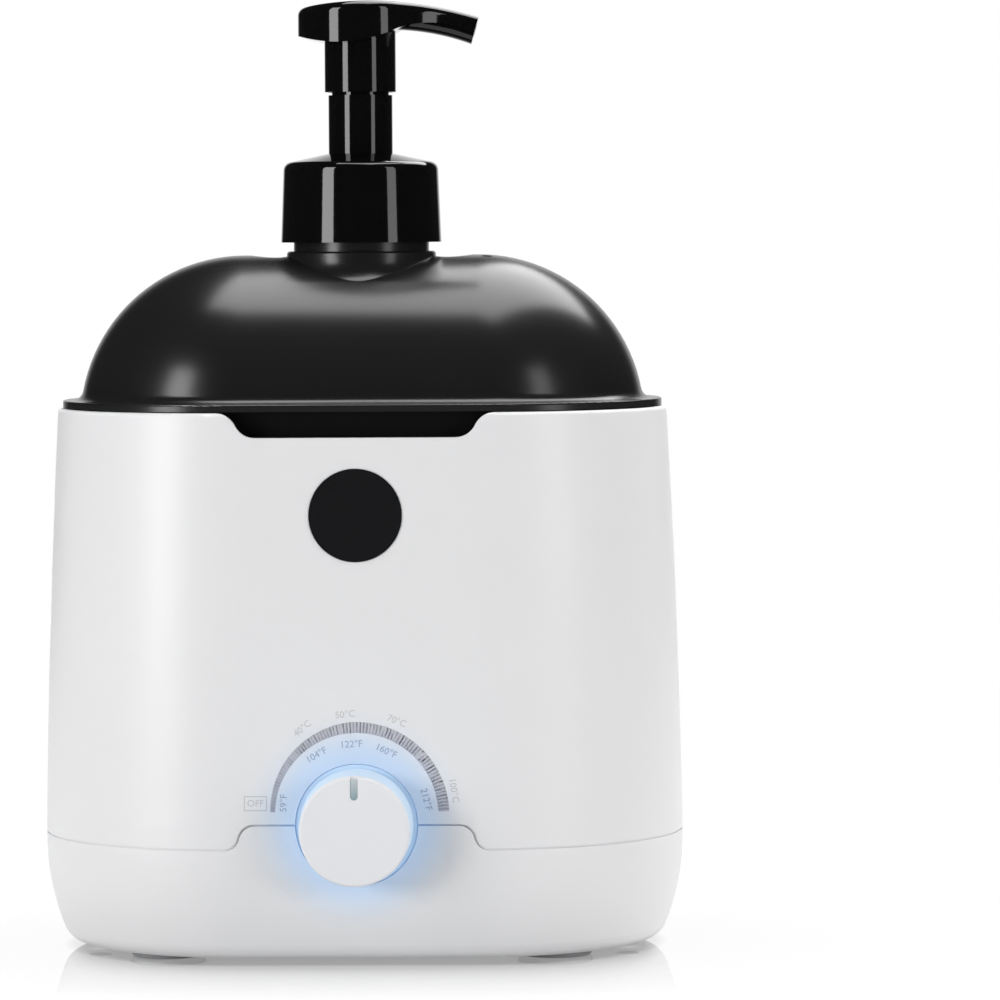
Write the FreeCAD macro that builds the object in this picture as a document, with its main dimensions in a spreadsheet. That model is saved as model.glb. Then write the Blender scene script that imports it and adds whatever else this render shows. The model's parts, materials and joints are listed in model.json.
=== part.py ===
"""Hot lather machine: a heated soap tank in a white housing, under a black dome lid with a foam pump.

Frame: millimetres, +Z up, the front faces -Y. The origin is in the plane that the four feet stand
on, under the middle of the whole machine. The pieces are drawn about the pump's axis, and keep()
moves them back together by half of what the knob stands out in front.

The housing, tank, frame and lid share one plan, a stadium: a straight core line along X with a
round end at each side. Their walls are sections given as (distance from the core line, height).
Depths at the front are distances forward of the core line, so a depth d is at Y = -d.
"""
import FreeCAD, Part
import math
import os
import re

import Sketcher

V = FreeCAD.Vector

# --------------------------------------------------------------------------- driving dimensions
SIZES = {
    # plan and white housing
    "core_half": 34.0,           # half length of the straight core line
    "rim_radius": 54.5,          # outside of the white shell at its rim
    "waist_flare": 4.2,          # how far the shell stands out at the seam beyond its rim
    "waist_height": 40.0,        # where the shell's upright foot ends and its bowed side starts
    "side_bow": 3300.0,          # radius of the bowed side
    "shell_wall": 2.5,
    "rim_height": 156.3,
    "rim_round": 1.3,
    "seam_height": 33.4,         # joint between upper and base shell
    "seam_gap": 0.5,
    "swell_outer": 75.4,         # width of the seam's raised middle where it leaves the seam
    "swell_inner": 58.0,         # width of its flat top
    "knob_height": 40.4,         # knob axis, and the raised seam's top
    "cut_margin": 5.0,           # how far cuts start outside the material
    # base shell
    "base_bottom": 1.5,
    "base_inset": 11.0,          # from the upright wall in to the flat underside
    "base_turn": 31.0,           # height at which the base starts to curve in
    "base_corner": 6.5,
    "lip_wall": 1.2,
    "lip_rise": 3.0,
    "lip_root": 5.0,
    "lip_gap": 0.2,
    "lip_break": 24.0,           # half width of the gap in the lip behind the knob
    # finger notch in the rim, under the lid
    "notch_outer": 78.8,
    "notch_inner": 56.5,
    "notch_depth": 7.0,
    # inner frame
    "frame_gap": 0.1,
    "frame_inset": 7.6,          # from the rim in to its upright ring
    "frame_wall": 1.6,
    "frame_proud": 0.3,          # how far its lip stands above the white rim
    "frame_rest": 2.0,           # rib inside the housing that carries it
    "ledge_drop": 4.3,           # from the rim down to where the tank's flange sits
    "ledge_depth": 1.8,
    # tank
    "tank_inset": 11.3,          # from the rim in to the tank's wall
    "tank_wall": 1.0,
    "tank_bottom": 61.0,
    "tank_corner": 4.0,
    "flange_gap": 0.3,
    "tank_gap": 0.4,
    "sleeve_wall": 3.7,
    "sleeve_low": 66.0,
    "sleeve_drop": 12.0,
    # heater under the tank
    "heater_radius": 30.0,
    "heater_thick": 5.0,
    "element_tube": 3.2,
    "element_radius": 18.0,
    "element_half": 30.0,
    "element_drop": 7.0,
    "stud_radius": 2.0,
    "stud_x": 36.0,
    "stud_drop": 9.5,
    "nut_flats": 7.0,
    "nut_thick": 3.2,
    "fuse_radius": 2.0,
    "fuse_half": 6.0,
    "clip_sheet": 0.5,
    "clip_width": 5.0,
    "clip_half": 7.0,
    "bulb_radius": 2.4,
    "bulb_length": 26.0,
    "bulb_x": 8.0,
    "bulb_y": 10.5,
    "capillary_radius": 0.9,
    # lid
    "lid_inset": 1.5,
    "lid_flange_thick": 2.0,
    "lid_edge": 0.5,
    "lid_wall": 2.2,
    "dome_rise": 44.0,           # dome's top over the rim
    "dome_inset": 6.5,
    "flare_radius": 3.3,         # hollow curve between dome and flange
    "plug_gap": 0.9,             # between the lid's plug and the tank
    "plug_wall": 1.7,
    "plug_depth": 5.3,
    "seal_inset": 0.8,
    "seal_gap": 0.2,
    "vent_radius": 1.5,
    "vent_x": 36.6,
    "vent_y": -6.0,
    # pump seat and neck on the lid
    "seat_radius": 21.6,
    "seat_rise": 1.1,            # seat over the dome's top
    "seat_edge": 0.8,
    "seat_sunk": 0.1,            # how far the seat's flare dips into the dome at its foot
    "dish_radius": 26.0,         # ring-shaped hollow around the seat
    "dish_curve": 30.0,
    "dish_depth": 0.7,
    "neck_inset": 1.95,
    "neck_wall": 1.75,
    "neck_rise": 18.4,
    # pump: fixed pieces
    "collar_lift": 2.6,
    "collar_wall": 3.35,
    "collar_draft": 0.8,         # how much narrower it is at the shoulder
    "collar_shoulder": 2.55,
    "collar_side": 20.8,         # height of its side below the shoulder
    "collar_cone": 12.0,         # slope of its top, in degrees
    "thread_gap": 0.3,
    "gasket_thick": 1.0,
    "flange_inset": 0.35,
    "flange_thick": 1.2,
    "chaplet_flange": 17.5,
    "chaplet_sheet": 1.4,
    "turn_gap": 0.3,             # between pieces that turn on each other
    "chaplet_radius": 9.3,
    "spigot_step": 1.0,
    "spigot_height": 3.0,
    "chamber_radius": 15.2,
    "chamber_wall": 0.8,
    "throat_radius": 6.25,
    "throat_height": 3.5,
    "barrel_radius": 5.0,
    "barrel_length": 24.6,
    "valve_seat": 1.2,
    "valve_hole": 1.2,
    "ball_radius": 1.8,
    "ball_gap": 0.6,
    "socket_length": 14.8,
    "tube_radius": 1.75,
    "tube_bore": 1.1,
    "tube_gap": 1.1,
    "tube_clear": 4.0,           # from its slanted end to the tank's floor
    "fit_gap": 0.05,             # running clearance of a shaft in its bore
    # pump: moving pieces
    "head_travel": 16.0,
    "stop_gap": 3.0,
    "stem_radius": 5.2,
    "stem_wall": 1.1,
    "stem_engaged": 9.0,
    "stem_collar": 6.5,
    "stem_collar_thick": 1.2,
    "rod_radius": 2.6,
    "rod_wall": 1.2,
    "piston_rest": 2.0,
    "piston_height": 6.5,
    "piston_disc": 1.5,
    "piston_lip": 1.0,
    "piston_gap": 0.15,
    "liquid_height": 4.0,
    "spring_radius": 7.6,
    "spring_wire": 0.45,
    "spring_turns": 6.0,
    "mesh_wall": 0.85,
    "mesh_height": 11.0,
    "mesh_sunk": 1.0,
    # pump head
    "head_radius": 18.0,
    "head_over": 1.5,            # how far its side and plan outlines run past each other
    "skirt_wall": 0.75,
    "skirt_height": 16.4,
    "skirt_clear": 1.8,
    "shoulder_gap": 0.9,
    "socket_wall": 1.45,
    "socket_gap": 0.5,
    "socket_sunk": 1.6,
    "rim_foot": 0.45,            # height of the side wall's foot at the back
    "rim_side": 7.56,            # height of its top there
    "head_rise": 9.55,           # height of the head's highest line
    "head_apex": 4.0,            # where that line is along X
    "head_belly": 38.0,
    "head_edge": 2.4,
    "nozzle_reach": 34.5,
    "nozzle_rise": 5.1,
    "nozzle_drop": 2.7,
    "nozzle_back": 2.2,          # how far the tip's lower edge leans back
    "nozzle_root": 11.0,
    "nozzle_root_rise": 1.55,
    "nozzle_arch": 70.0,
    "canopy_tip": 0.2,           # height of the canopy's lower edge at the tip
    "canopy_arch": 26.0,
    "spout_half": 4.35,
    "spout_top": 3.8,
    "spout_edge": 2.6,
    "nozzle_half": 4.3,
    "nozzle_taper": 8.0,         # of each side in plan, in degrees
    "nozzle_blend": 35.0,
    "duct_radius": 2.0,
    "duct_rise": 6.4,
    "duct_fall": 8.6,            # slope of the outlet, in degrees
    # knob and its light
    "knob_radius": 15.45,
    "knob_back_radius": 16.0,
    "knob_gap": 0.4,
    "knob_depth": 16.6,
    "knob_wall": 1.6,
    "knob_edge": 0.8,
    "hub_radius": 5.2,
    "hub_floor": 4.7,
    "pointer_half": 1.05,
    "pointer_inner": 9.9,
    "pointer_depth": 0.8,
    "pointer_sunk": 0.2,
    "window_radius": 17.3,
    "window_gap": 0.2,
    "ring_bore": 11.5,
    "ring_sunk": 0.5,
    "ring_flange": 19.5,
    "ring_depth": 2.2,
    "ring_rim": 1.2,
    "board_bore": 8.0,
    "board_thick": 1.6,
    "led_count": 8.0,
    "led_half": 1.4,
    "led_thick": 1.0,
    "led_circle": 14.3,
    # thermostat and its bracket
    "bracket_sheet": 1.2,
    "bracket_half": 21.0,
    "bracket_low": 14.0,
    "bracket_high": 61.0,
    "bracket_foot": 20.4,
    "post_x": 15.0,
    "post_inset": 20.7,
    "post_radius": 4.0,
    "thermostat_half": 12.0,
    "thermostat_half_tall": 14.0,
    "thermostat_deep": 22.5,
    "bush_radius": 4.8,
    "bush_reach": 5.5,
    "bush_nut_flats": 12.0,
    "bush_nut_thick": 2.5,
    "shaft_radius": 3.0,
    "shaft_sunk": 7.2,
    # feet and screws
    "foot_reach": 21.5,          # foot centres: beyond the core line's ends
    "foot_inset": 29.2,          # and in from the upright wall
    "foot_radius": 10.5,
    "foot_recess": 1.2,
    "foot_edge": 0.8,
    "foot_gap": 0.3,
    "boss_reach": 45.0,          # screw posts: distance from the core line's end
    "boss_angle": 20.0,
    "boss_radius": 4.6,
    "boss_top": 55.0,
    "boss_web": 1.0,
    "screw_seat": 20.0,
    "screw_head": 3.0,
    "head_thick": 2.2,
    "screw_radius": 1.25,
    "screw_length": 26.0,
    "bore_gap": 0.4,
    # power inlet
    "inlet_height": 24.0,
    "inlet_half": 13.0,
    "inlet_half_tall": 7.0,
    "inlet_sunk": 2.3,
    "inlet_flange": 1.2,
    "inlet_body_half": 10.0,
    "inlet_body_tall": 5.75,
    "inlet_deep": 15.4,
    "inlet_block": 4.0,
    "pin_pitch": 8.6,
    "inlet_lobe": 4.1,
    "inlet_waist": 3.3,
    "inlet_depth": 11.0,
    "pin_radius": 1.2,
    "pin_length": 9.0,
    "pin_tail": 5.0,
    "wire_radius": 1.1,
    "wire_bend": 6.0,
    # badge
    "badge_drop": 28.8,          # centre under the rim
    "badge_radius": 13.1,
    "badge_thick": 0.7,
    "badge_recess": 0.4,
}

# places that follow from the driving dimensions, as formulas in the same sheet
FOLLOWING = {
    "waist_radius": "rim_radius + waist_flare",
    "base_flat": "waist_radius - base_inset",
    "frame_radius": "rim_radius - frame_inset",
    "ledge_height": "rim_height - ledge_drop",
    "tank_radius": "rim_radius - tank_inset",
    "tank_flange": "frame_radius - frame_wall - flange_gap",
    "sleeve_high": "ledge_height - sleeve_drop",
    "lid_flange": "rim_radius - lid_inset",
    "dome_top": "rim_height + dome_rise",
    "dome_radius": "rim_radius - dome_inset",
    "plug_radius": "tank_radius - tank_wall - plug_gap",
    "seal_radius": "tank_flange - seal_inset",
    "seat_height": "dome_top + seat_rise",
    "neck_radius": "seat_radius - neck_inset",
    "neck_height": "seat_height + neck_rise",
    "collar_low": "seat_height + collar_lift",
    "collar_radius": "neck_radius + thread_gap + collar_wall",
    "chamber_flange": "neck_radius - flange_inset",
    "post_y": "waist_radius - post_inset",
    "inlet_seat": "waist_radius - inlet_sunk",
    "inlet_back": "inlet_seat - inlet_deep",
    "foot_x": "core_half + foot_reach",
    "foot_y": "waist_radius - foot_inset",
    "badge_height": "rim_height - badge_drop",
    "front_shift": "(knob_gap + knob_depth) / 2",
}

doc = FreeCAD.newDocument("hot_lather_machine")
sheet = doc.addObject("Spreadsheet::Sheet", "Sizes")
cells = {**SIZES, **{name: f"={formula}" for name, formula in FOLLOWING.items()}}
for row, (alias, content) in enumerate(cells.items(), start=1):
    sheet.set(f"A{row}", alias)
    sheet.set(f"B{row}", str(content))
    sheet.setAlias(f"B{row}", alias)
doc.recompute()

parts = []


# --------------------------------------------------------------------------- tools
def linked(text):
    """An expression over size names, with each name pointed at the sheet."""
    return re.sub(r"\b[a-z]\w*\b(?!\()", lambda found: "Sizes." + found.group(), str(text))


def value(text):
    """The number that an expression over size names gives now."""
    return float(sheet.evalExpression(linked(text)))


def link(thing, name, text):
    """Binds a property to an expression over size names."""
    thing.setExpression(name, linked(text))


def keep(part):
    """Lists a part, and shifts it back so that the origin is under the machine's middle."""
    link(part, "Placement.Base.y", "front_shift")
    parts.append(part)
    return part


def new_body(label):
    body = doc.addObject("PartDesign::Body", label)
    body.Label = label
    return keep(body)


def origin_plane(body, role):
    return [feature for feature in body.Origin.OriginFeatures if feature.Role == role][0]


def fix_point(sketch, geometry, end, across, up):
    """Ties one point of a piece of sketch geometry to its place in the sketch."""
    for kind, text in (("DistanceX", across), ("DistanceY", up)):
        index = sketch.addConstraint(
            Sketcher.Constraint(kind, -1, 1, geometry, end, value(text)))
        link(sketch, f"Constraints[{index}]", text)


def fix_radius(sketch, geometry, radius):
    index = sketch.addConstraint(Sketcher.Constraint("Radius", geometry, value(radius)))
    link(sketch, f"Constraints[{index}]", radius)


def add_circle(sketch, across, up, radius):
    centre = V(value(across), value(up), 0)
    geometry = sketch.addGeometry(Part.Circle(centre, V(0, 0, 1), value(radius)), False)
    fix_point(sketch, geometry, 3, across, up)
    fix_radius(sketch, geometry, radius)


def arc_centre(start, end, radius):
    """Centre of the short arc from start to end; a positive radius turns left."""
    chord = end - start
    rise = math.sqrt(max(radius ** 2 - (chord.Length / 2) ** 2, 0.0))
    left = V(-chord.y, chord.x, 0).normalize()
    return (start + end) * 0.5 + left * math.copysign(rise, radius)


def add_run(sketch, start, end, radius):
    """One side of an outline. Returns its index and the point numbers of its start and end."""
    if radius is None:
        return sketch.addGeometry(Part.LineSegment(start, end), False), 1, 2
    bend = value(radius)
    centre = arc_centre(start, end, bend)
    first, last = (start, end) if bend > 0 else (end, start)
    angles = [math.atan2(point.y - centre.y, point.x - centre.x) for point in (first, last)]
    circle = Part.Circle(centre, V(0, 0, 1), abs(bend))
    geometry = sketch.addGeometry(Part.ArcOfCircle(circle, *angles), False)
    return (geometry, 1, 2) if bend > 0 else (geometry, 2, 1)


def add_loop(sketch, corners):
    """A closed outline. A corner is (across, up), or (across, up, radius) where an arc starts;
    a positive radius turns left and a negative one right."""
    places = [V(value(corner[0]), value(corner[1]), 0) for corner in corners]
    runs = []
    for index, corner in enumerate(corners):
        radius = corner[2] if len(corner) > 2 else None
        runs.append(add_run(sketch, places[index], places[(index + 1) % len(corners)], radius))
    for index, corner in enumerate(corners):
        geometry, first, _ = runs[index]
        before, _, last = runs[index - 1]
        sketch.addConstraint(Sketcher.Constraint("Coincident", before, last, geometry, first))
        fix_point(sketch, geometry, first, corner[0], corner[1])
        if len(corner) > 2:
            fix_radius(sketch, geometry, f"abs({corner[2]})")


def new_sketch(body, plane, loops, shift=("0", "0", "0"), tilt=None):
    """A sketch on one of the body's own planes. A loop is a list of corners, or a circle as
    (across, up, radius). shift moves the sketch in the plane's frame, and tilt turns it about
    its own across direction, in degrees."""
    sketch = body.newObject("Sketcher::SketchObject", f"{body.Label}_sketch")
    sketch.AttachmentSupport = (origin_plane(body, plane), [""])
    sketch.MapMode = "FlatFace"
    lean = FreeCAD.Rotation(V(1, 0, 0), value(tilt) if tilt else 0)
    sketch.AttachmentOffset = FreeCAD.Placement(V(*[value(part) for part in shift]), lean)
    for axis, part in zip("xyz", shift):
        if part != "0":
            link(sketch, f"AttachmentOffset.Base.{axis}", part)
    if tilt:
        link(sketch, "AttachmentOffset.Rotation.Angle", tilt)
    for loop in loops:
        if isinstance(loop, tuple):
            add_circle(sketch, *loop)
        else:
            add_loop(sketch, loop)
    return sketch


def extruded(body, sketch, length, cut=False, both_ways=False, backwards=False):
    """Pads a sketch along its normal, or pockets it against its normal."""
    feature = body.newObject("PartDesign::Pocket" if cut else "PartDesign::Pad", "extruded")
    feature.Profile = sketch
    link(feature, "Length", length)
    feature.Midplane = both_ways
    feature.Reversed = backwards
    return feature


def between(body, plane, loops, low, high, cut=False, up="0"):
    """Adds or cuts loops between two levels along the plane's normal: heights on XY_Plane,
    depths on XZ_Plane."""
    sketch = new_sketch(body, plane, loops, ("0", up, high if cut else low))
    return extruded(body, sketch, f"({high}) - ({low})", cut)


def turned(body, sketch, axis="V_Axis", angle=360, cut=False):
    """Revolves a sketch about one of its own axes, to both sides of its plane."""
    feature = body.newObject("PartDesign::Groove" if cut else "PartDesign::Revolution", "turned")
    feature.Profile = sketch
    feature.ReferenceAxis = (sketch, [axis])
    feature.Angle = angle
    feature.Midplane = True
    return feature


def mirrored(body, feature, plane):
    copy = body.newObject("PartDesign::Mirrored", "mirrored")
    copy.Originals = [feature]
    copy.MirrorPlane = (origin_plane(body, plane), [""])
    body.Tip = copy


def opposite(corners):
    """The corners' mirror image on the other side of the core line, in the reverse order."""
    flipped = []
    for index, (across, up, *_) in enumerate(corners):
        flipped.append((f"-1 * ({across})", up, *corners[index - 1][2:]))
    return flipped[::-1]


def around(body, corners):
    """Carries a wall section round the stadium plan: a straight middle and two turned ends. A
    section that reaches the core line starts and ends on it."""
    end_sketch = new_sketch(body, "XZ_Plane", [corners], ("core_half", "0", "0"))
    end = turned(body, end_sketch, angle=180)
    if corners[0][0] == "0":
        far_side = opposite(corners)
        loops = [corners[:-1] + [(*corners[-1][:2], *far_side[0][2:])] + far_side[1:-1]]
    else:
        loops = [corners, opposite(corners)]
    extruded(body, new_sketch(body, "YZ_Plane", loops), "2 * core_half", both_ways=True)
    mirrored(body, end, "YZ_Plane")


def stadium_part(label, corners):
    body = new_body(label)
    around(body, corners)
    return body


def turned_part(label, corners):
    """A round part about the pump's axis; corners are (radius, height)."""
    body = new_body(label)
    turned(body, new_sketch(body, "XZ_Plane", [corners]))
    return body


def knob_axis_part(label, corners):
    """A round part about the knob's axis; corners are (depth, radius), with arcs that turn as
    seen with the front at the left."""
    body = new_body(label)
    section = [(f"-1 * ({corner[0]})", *corner[1:]) for corner in corners]
    turned(body, new_sketch(body, "YZ_Plane", [section], ("0", "knob_height", "0")), "H_Axis")
    return body


def stadium(radius):
    """Outline of the plan at this distance from the core line."""
    tip = f"core_half + ({radius})"
    return [
        ("-1 * core_half", f"-1 * ({radius})"),
        ("core_half", f"-1 * ({radius})", radius),
        (tip, "0", radius),
        ("core_half", radius),
        ("-1 * core_half", radius, radius),
        (f"-1 * ({tip})", "0", radius),
    ]


def box(left, low, right, high):
    return [(left, low), (right, low), (right, high), (left, high)]


def hexagon(across, up, flats):
    """Corners of a nut."""
    reach = f"({flats}) / 2 / cos(30)"
    return [(f"{across} + {reach} * cos({60 * step})", f"{up} + {reach} * sin({60 * step})")
            for step in range(6)]


def swell(outer, inner, level, far):
    """A widening with S-shaped ends, from left to right: it leaves the level line at the outer
    width and is flat on the far line over the inner width."""
    wide, narrow = f"({outer}) / 2", f"({inner}) / 2"
    run, rise = f"({wide} - {narrow})", f"(({far}) - ({level}))"
    bend = f"({run}^2 + {rise}^2) / (4 * {rise})"
    middle, halfway = f"({wide} + {narrow}) / 2", f"(({level}) + ({far})) / 2"
    return [
        (f"-1 * {wide}", level, bend),
        (f"-1 * {middle}", halfway, f"-1 * {bend}"),
        (f"-1 * {narrow}", far),
        (narrow, far, f"-1 * {bend}"),
        (middle, halfway, bend),
        (wide, level),
    ]


def four_places(along, aside):
    """The four places at (+-along, +-aside)."""
    return [(f"{sx} * {along}", f"{sy} * {aside}") for sy in (-1, 1) for sx in (-1, 1)]


def circles(places, radius):
    return [(x, y, radius) for x, y in places]


def made_part(label, shape):
    """A part whose shape the Part module works out."""
    feature = doc.addObject("Part::Feature", label)
    feature.Label = label
    feature.Shape = shape
    keep(feature)


def rounded_path(points, bend):
    """A wire of straight runs joined by tangent arcs of one radius."""
    places = [V(*point) for point in points]
    edges, last = [], places[0]
    for before, corner, after in zip(places, places[1:], places[2:]):
        back, ahead = (before - corner).normalize(), (after - corner).normalize()
        half_turn = back.getAngle(ahead) / 2
        first = corner + back * (bend / math.tan(half_turn))
        second = corner + ahead * (bend / math.tan(half_turn))
        bisector = (back + ahead).normalize()
        middle = corner + bisector * (bend / math.sin(half_turn) - bend)
        edges.append(Part.LineSegment(last, first).toShape())
        edges.append(Part.Arc(first, middle, second).toShape())
        last = second
    edges.append(Part.LineSegment(last, places[-1]).toShape())
    return Part.Wire(edges)


def rod_along(path, radius):
    """A solid round rod along a path."""
    start = path.Edges[0]
    ring = Part.makeCircle(radius, start.valueAt(start.FirstParameter),
                           start.tangentAt(start.FirstParameter))
    return path.makePipeShell([Part.Wire([ring])], True, False)


# --------------------------------------------------------------------------- shared places
SEAM_LOW = "(seam_height - seam_gap / 2)"
SEAM_HIGH = "(seam_height + seam_gap / 2)"
TAB_TOP = "(knob_height - seam_gap / 2)"
WALL_IN = "(waist_radius - shell_wall)"
OUTSIDE = "(waist_radius + cut_margin)"
NOTCH_FLOOR = "(rim_height - notch_depth)"
BOSS_PLACES = four_places("(core_half + boss_reach * cos(boss_angle))",
                          "(boss_reach * sin(boss_angle))")
FOOT_PLACES = four_places("foot_x", "foot_y")
POST_PLACES = [("-1 * post_x", "-1 * post_y"), ("post_x", "-1 * post_y")]

# the bowed side of the white shell: its circle's centre, and the wall's place and lean
BOW_HIGH = "(rim_height - rim_round)"
BOW_DROP = f"({BOW_HIGH} - waist_height)"
BOW_FLARE = "(waist_radius - rim_radius)"
BOW_CHORD = f"sqrt({BOW_DROP}^2 + {BOW_FLARE}^2)"
BOW_DEEP = f"sqrt(side_bow^2 - {BOW_CHORD}^2 / 4)"
BOW_RADIUS = f"((rim_radius + waist_radius) / 2 - {BOW_DEEP} * {BOW_DROP} / {BOW_CHORD})"
BOW_HEIGHT = f"(({BOW_HIGH} + waist_height) / 2 - {BOW_DEEP} * {BOW_FLARE} / {BOW_CHORD})"
BADGE_REACH = f"({BOW_RADIUS} + sqrt(side_bow^2 - (badge_height - {BOW_HEIGHT})^2))"
BADGE_LEAN = f"asin((badge_height - {BOW_HEIGHT}) / side_bow)"

# the base's side: an arc tangent to the upright wall and to the corner arc
BASE_RUN = "(waist_radius - base_flat)"
BASE_RISE = "(base_turn - base_bottom - base_corner)"
BASE_SIDE = (f"(({BASE_RUN}^2 + {BASE_RISE}^2 - base_corner^2)"
             f" / (2 * ({BASE_RUN} - base_corner)))")


def base_join(corner_radius):
    """Where the base's side arc meets a corner arc of this radius."""
    span = f"({BASE_SIDE} - base_corner)"
    return (f"base_flat + {corner_radius} * ({BASE_SIDE} - {BASE_RUN}) / {span}",
            f"base_bottom + base_corner - {corner_radius} * {BASE_RISE} / {span}")


# --------------------------------------------------------------------------- white housing
def badge_sketch(body, radius):
    """A circle square to the leaning front wall, on the floor of the badge's recess."""
    return new_sketch(body, "XZ_Plane", [("0", "0", radius)],
                      ("0", "badge_height", f"{BADGE_REACH} - badge_recess"),
                      tilt=f"-1 * {BADGE_LEAN}")


def cut_knob_window(body):
    """The round window for the lit ring, and the flat behind it that the ring's flange sits on."""
    window = [("0", "knob_height", "window_radius")]
    between(body, "XZ_Plane", window, f"{WALL_IN} - cut_margin", OUTSIDE, cut=True)
    seat = [("0", "knob_height", "ring_flange + foot_gap")]
    between(body, "XZ_Plane", seat, f"{WALL_IN} - cut_margin", WALL_IN, cut=True)


def post_webs():
    """Webs from the screw posts out to the round ends of the wall."""
    middle = "(waist_radius - shell_wall / 2)"
    webs = []
    for sx in (-1, 1):
        for sy in (-1, 1):
            corners = []
            for reach, side in (("boss_reach", -1), (middle, -1), (middle, 1), ("boss_reach", 1)):
                along = f"({reach} * cos(boss_angle) - {side} * boss_web * sin(boss_angle))"
                aside = f"({reach} * sin(boss_angle) + {side} * boss_web * cos(boss_angle))"
                corners.append((f"{sx} * (core_half + {along})", f"{sy} * {aside}"))
            webs.append(corners)
    return webs


def make_upper_housing():
    body = stadium_part("upper_housing", [
        ("rim_radius - shell_wall", "rim_height"),
        ("rim_radius - rim_round", "rim_height", "-1 * rim_round"),
        ("rim_radius", BOW_HIGH, "-1 * side_bow"),
        ("waist_radius", "waist_height"),
        ("waist_radius", SEAM_HIGH),
        (WALL_IN, SEAM_HIGH),
        (WALL_IN, "waist_height", "side_bow"),
        ("rim_radius - shell_wall", BOW_HIGH),
    ])
    rest_top = f"({NOTCH_FLOOR} - frame_wall)"
    inside = "(rim_radius - shell_wall)"
    rest = [stadium(f"{inside} - frame_rest"), stadium(f"{inside} + shell_wall / 2")]
    between(body, "XY_Plane", rest, f"{rest_top} - 2 * frame_rest", rest_top)
    notch = swell("notch_outer", "notch_inner", "rim_height", NOTCH_FLOOR)
    above = "rim_height + cut_margin"
    closing = [("notch_outer / 2", above), ("-1 * notch_outer / 2", above)]
    between(body, "XZ_Plane", [notch + closing], f"{inside} - cut_margin", OUTSIDE, cut=True)
    wide, narrow = "swell_outer + seam_gap", "swell_inner + seam_gap"
    seam = swell(wide, narrow, SEAM_HIGH, "knob_height + seam_gap / 2")
    below = f"{SEAM_LOW} - cut_margin"
    closing = [(f"({wide}) / 2", below), (f"-1 * ({wide}) / 2", below)]
    between(body, "XZ_Plane", [seam + closing], f"{WALL_IN} - cut_margin", OUTSIDE, cut=True)
    cut_knob_window(body)
    extruded(body, badge_sketch(body, "badge_radius + frame_gap"), "cut_margin", cut=True,
             backwards=True)
    between(body, "XY_Plane", circles(BOSS_PLACES, "boss_radius"), SEAM_LOW, "boss_top")
    between(body, "XY_Plane", post_webs(), f"{SEAM_LOW} + lip_rise + lip_gap", "boss_top")
    pilots = circles(BOSS_PLACES, "screw_radius + fit_gap")
    pilot_top = "screw_seat + screw_length + foot_edge"
    between(body, "XY_Plane", pilots, f"{SEAM_LOW} - cut_margin", pilot_top, cut=True)


def make_base_shell():
    body = stadium_part("base_shell", [
        ("0", "base_bottom"),
        ("base_flat", "base_bottom", "base_corner"),
        (*base_join("base_corner"), BASE_SIDE),
        ("waist_radius", "base_turn"),
        ("waist_radius", f"{TAB_TOP} + cut_margin"),
        (WALL_IN, f"{TAB_TOP} + cut_margin"),
        (WALL_IN, "base_turn", f"shell_wall - {BASE_SIDE}"),
        (*base_join("(base_corner - shell_wall)"), "shell_wall - base_corner"),
        ("base_flat", "base_bottom + shell_wall"),
        ("0", "base_bottom + shell_wall"),
    ])
    # trim the wall down to the seam, which rises over the knob's axis at the front
    far = "(core_half + waist_radius + cut_margin)"
    high = f"{TAB_TOP} + 2 * cut_margin"
    seam = swell("swell_outer - seam_gap", "swell_inner - seam_gap", SEAM_LOW, TAB_TOP)
    closing = [(far, SEAM_LOW), (far, high), (f"-1 * {far}", high), (f"-1 * {far}", SEAM_LOW)]
    between(body, "XZ_Plane", [seam + closing], "0", OUTSIDE, cut=True)
    rear = [box(f"-1 * {far}", SEAM_LOW, far, high)]
    between(body, "XZ_Plane", rear, f"-1 * {OUTSIDE}", "0", cut=True)
    lip_out = f"({WALL_IN} - lip_gap)"
    lip_in = f"({lip_out} - lip_wall)"
    root = f"{SEAM_LOW} - lip_root"
    foot = [stadium(f"{WALL_IN} + shell_wall / 4"), stadium(lip_in)]
    between(body, "XY_Plane", foot, root, SEAM_LOW)
    between(body, "XY_Plane", [stadium(lip_out), stadium(lip_in)], root, f"{SEAM_LOW} + lip_rise")
    gap = [box("-1 * lip_break", f"{SEAM_LOW} - lip_root - lip_wall", "lip_break",
               f"{SEAM_LOW} + lip_rise + cut_margin")]
    between(body, "XZ_Plane", gap, f"{lip_out} - 2 * lip_wall", WALL_IN, cut=True)
    cut_knob_window(body)
    floor = "(base_bottom + shell_wall / 2)"
    between(body, "XY_Plane", circles(BOSS_PLACES, "boss_radius"), floor, SEAM_LOW)
    between(body, "XY_Plane", circles(POST_PLACES, "post_radius"), floor, "bracket_low")
    wells = circles(BOSS_PLACES, "screw_head + bore_gap")
    between(body, "XY_Plane", wells, "0", "screw_seat", cut=True)
    holes = circles(BOSS_PLACES, "screw_radius + bore_gap")
    between(body, "XY_Plane", holes, "0", f"{SEAM_LOW} + cut_margin", cut=True)
    pilots = circles(POST_PLACES, "screw_radius + fit_gap")
    between(body, "XY_Plane", pilots, "base_bottom + shell_wall", "bracket_low", cut=True)
    recesses = circles(FOOT_PLACES, "foot_radius + foot_gap")
    between(body, "XY_Plane", recesses, "0", "base_bottom + foot_recess", cut=True)
    make_inlet_seat(body)


def inlet_box(half, half_tall, margin):
    return [box(f"-1 * {half} - {margin}", f"inlet_height - {half_tall} - {margin}",
                f"{half} + {margin}", f"inlet_height + {half_tall} + {margin}")]


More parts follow.
